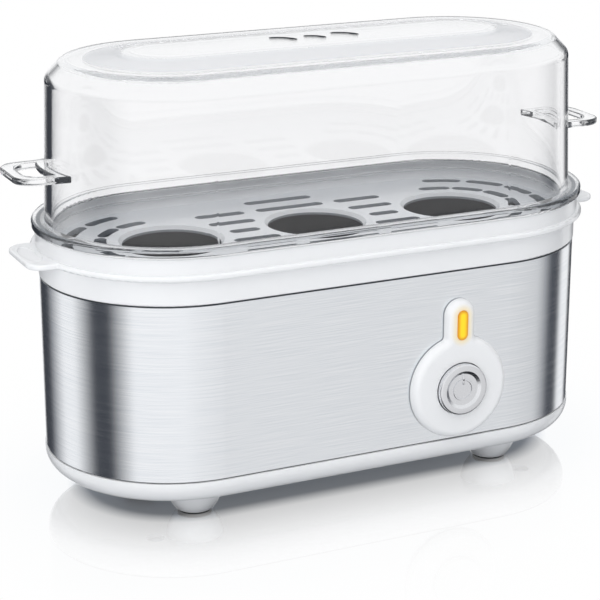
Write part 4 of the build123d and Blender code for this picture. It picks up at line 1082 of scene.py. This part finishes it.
@dataclass
class Surround:
    """Studio walls that the metal and the lid mirror: white, with dark gaps that draw their bands."""

    # Bearings turn from the front past the left end, in degrees, each with the light level seen there.
    low_walls: tuple[Pair, ...] = (
        (0, 0.94), (12, 1.0), (56, 1.0), (79, 0.06), (94, 0.06), (117, 0.95), (132, 0.95), (150, 0.35),
        (160, 0.06), (182, 0.04), (187, 1.0), (218, 1.0), (222, 0.04), (235, 0.05), (240, 0.95), (257, 0.95),
        (265, 0.06), (278, 0.08), (287, 0.4), (297, 0.68), (318, 0.75), (331, 0.8), (335, 0.83), (339, 0.86),
        (348, 0.9), (360, 0.94))
    gap_fall: int = 4
    gap_red: float = 0.1
    gap_blue: float = 0.25
    wall_blue: float = 1.01
    # Where the low walls end and the ground begins, as a ray's rise over its length.
    wall_top: Pair = (0.02, 0.25)
    ground: Pair = (-0.5, -0.7)
    high_wall_colour: str = "#F8F9FA"
    ground_colour: str = "#2E3034"
    through_colour: str = "#FCFCFD"
    background: str = "#FFFFFF"
    soft_light: Colour = (0.52, 0.52, 0.53, 1.0)
    both_walls: float = 3.5

    def wall_colour(self, level: float) -> Colour:
        """Gives a wall's colour, with the dark gaps a little cooler.

        Args:
            level: Light level of the wall.

        Returns:
            Red, green, blue and alpha, linear.
        """
        cool = (1.0 - level) ** self.gap_fall
        red = level * (1.0 - self.gap_red * cool)
        blue = level * (self.wall_blue + self.gap_blue * cool)
        return red, level, blue, 1.0

    def mirrored(self, tree: Tree, glossy: Socket) -> Socket:
        """Adds what mirrors show: the low walls, white above them and dark ground below.

        Args:
            tree: Node tree of the world.
            glossy: Socket with 1 for light that a mirror sends on.

        Returns:
            Socket with the colour.
        """
        ray = add_node(tree, "ShaderNodeTexCoord").outputs["Generated"]
        axes = add_node(tree, "ShaderNodeSeparateXYZ", {0: ray}).outputs
        bearing = remap(tree, calculate(tree, "ARCTAN2", axes["X"], axes["Y"]), -math.pi, math.pi)
        ramp = add_node(tree, "ShaderNodeValToRGB", {"Fac": bearing})
        set_stops(ramp, [(angle / FULL_TURN, self.wall_colour(level)) for angle, level in self.low_walls])
        above = remap(tree, axes["Z"], *self.wall_top, kind="SMOOTHSTEP")
        walls = blend(tree, above, ramp.outputs["Color"], srgb(self.high_wall_colour))
        down = remap(tree, axes["Z"], *self.ground, kind="SMOOTHSTEP")
        return blend(tree, calculate(tree, "MULTIPLY", down, glossy), walls, srgb(self.ground_colour))

    def build(self) -> None:
        """Paints the walls, an even light for dull faces and a plain white background."""
        world = bpy.data.worlds.new("studio")
        bpy.context.scene.world = world
        tree = empty_tree(world)
        path = add_node(tree, "ShaderNodeLightPath").outputs
        glossy, transmitted = path["Is Glossy Ray"], path["Is Transmission Ray"]
        # Light that has crossed both walls of the lid sees the white background, and a wall's rim the gaps.
        crossed = calculate(tree, "GREATER_THAN", path["Transmission Depth"], self.both_walls)
        through = calculate(tree, "MULTIPLY", crossed, transmitted)
        seen = blend(tree, through, self.mirrored(tree, glossy), srgb(self.through_colour))
        sharp = calculate(tree, "MAXIMUM", glossy, transmitted)
        lit = blend(tree, sharp, self.soft_light, seen)
        shown = blend(tree, path["Is Camera Ray"], lit, srgb(self.background))
        light = add_node(tree, "ShaderNodeBackground", {"Color": shown, "Strength": 1.0})
        add_node(tree, "ShaderNodeOutputWorld", {"Surface": light.outputs["Background"]})


@dataclass
class Studio:
    """Camera, floor, lamps and surround."""

    azimuth: float = -25.2
    elevation: float = 17.67
    distance: float = 683.0
    aim: Triple = (-5.45, 0.0, 58.66)
    lens: float = 117.27
    sensor: float = 36.0
    floor_size: float = 6000.0
    floor_drop: float = 0.05
    lamp_aim: Triple = (0.0, 0.0, 60.0)

    def place_camera(self) -> None:
        """Sets the camera at the photograph's viewing angle."""
        turn, tilt = math.radians(self.azimuth), math.radians(self.elevation)
        back = Vector((math.sin(turn) * math.cos(tilt), -math.cos(turn) * math.cos(tilt), math.sin(tilt)))
        camera = bpy.data.objects.new("camera", bpy.data.cameras.new("camera"))
        camera.data.lens = self.lens
        camera.data.sensor_width = self.sensor
        camera.location = (Vector(self.aim) + back * self.distance) * MM
        camera.rotation_euler = back.to_track_quat("Z", "Y").to_euler()
        bpy.context.scene.collection.objects.link(camera)
        bpy.context.scene.camera = camera

    def lay_floor(self) -> None:
        """Lays the polished floor just below the feet."""
        bpy.ops.object.select_all(action="DESELECT")
        bpy.ops.mesh.primitive_plane_add(
            size=self.floor_size * MM, location=(0.0, 0.0, -self.floor_drop * MM))
        floor = bpy.context.object
        floor.name = "floor"
        floor.data.materials.append(Material.FLOOR_SHEET.value.build())
        floor.visible_glossy = False
        floor.visible_transmission = False

    def hang_lamp(self, name: str, place: Triple, size: float, watts: float) -> None:
        """Hangs a soft square lamp that points at the cooker.

        Args:
            name: Name of the lamp.
            place: Position in millimetres.
            size: Side of the square in millimetres.
            watts: Power.
        """
        lamp = bpy.data.lights.new(name, "AREA")
        lamp.size = size * MM
        lamp.energy = watts
        holder = bpy.data.objects.new(name, lamp)
        holder.location = Vector(place) * MM
        aim = Vector(self.lamp_aim) - Vector(place)
        holder.rotation_euler = aim.to_track_quat("-Z", "Y").to_euler()
        holder.visible_glossy = False
        holder.visible_transmission = False
        bpy.context.scene.collection.objects.link(holder)

    def build(self) -> None:
        """Sets up the whole studio."""
        bpy.context.scene.view_settings.view_transform = "Standard"
        self.place_camera()
        self.lay_floor()
        self.hang_lamp("overhead_lamp", place=(-100.0, -250.0, 900.0), size=900.0, watts=4.0)
        self.hang_lamp("front_left_lamp", place=(-700.0, -700.0, 450.0), size=700.0, watts=2.9)
        Surround().build()


def main() -> None:
    """Builds and dresses the sub-assemblies in order."""
    logging.basicConfig(level=logging.INFO, format="%(name)s: %(message)s")
    for part in (Body(), Tray(), Lid(), Controls(), Heater(), Wiring()):
        part.dress()
    Studio().build()


if __name__ == "__main__":
    main()
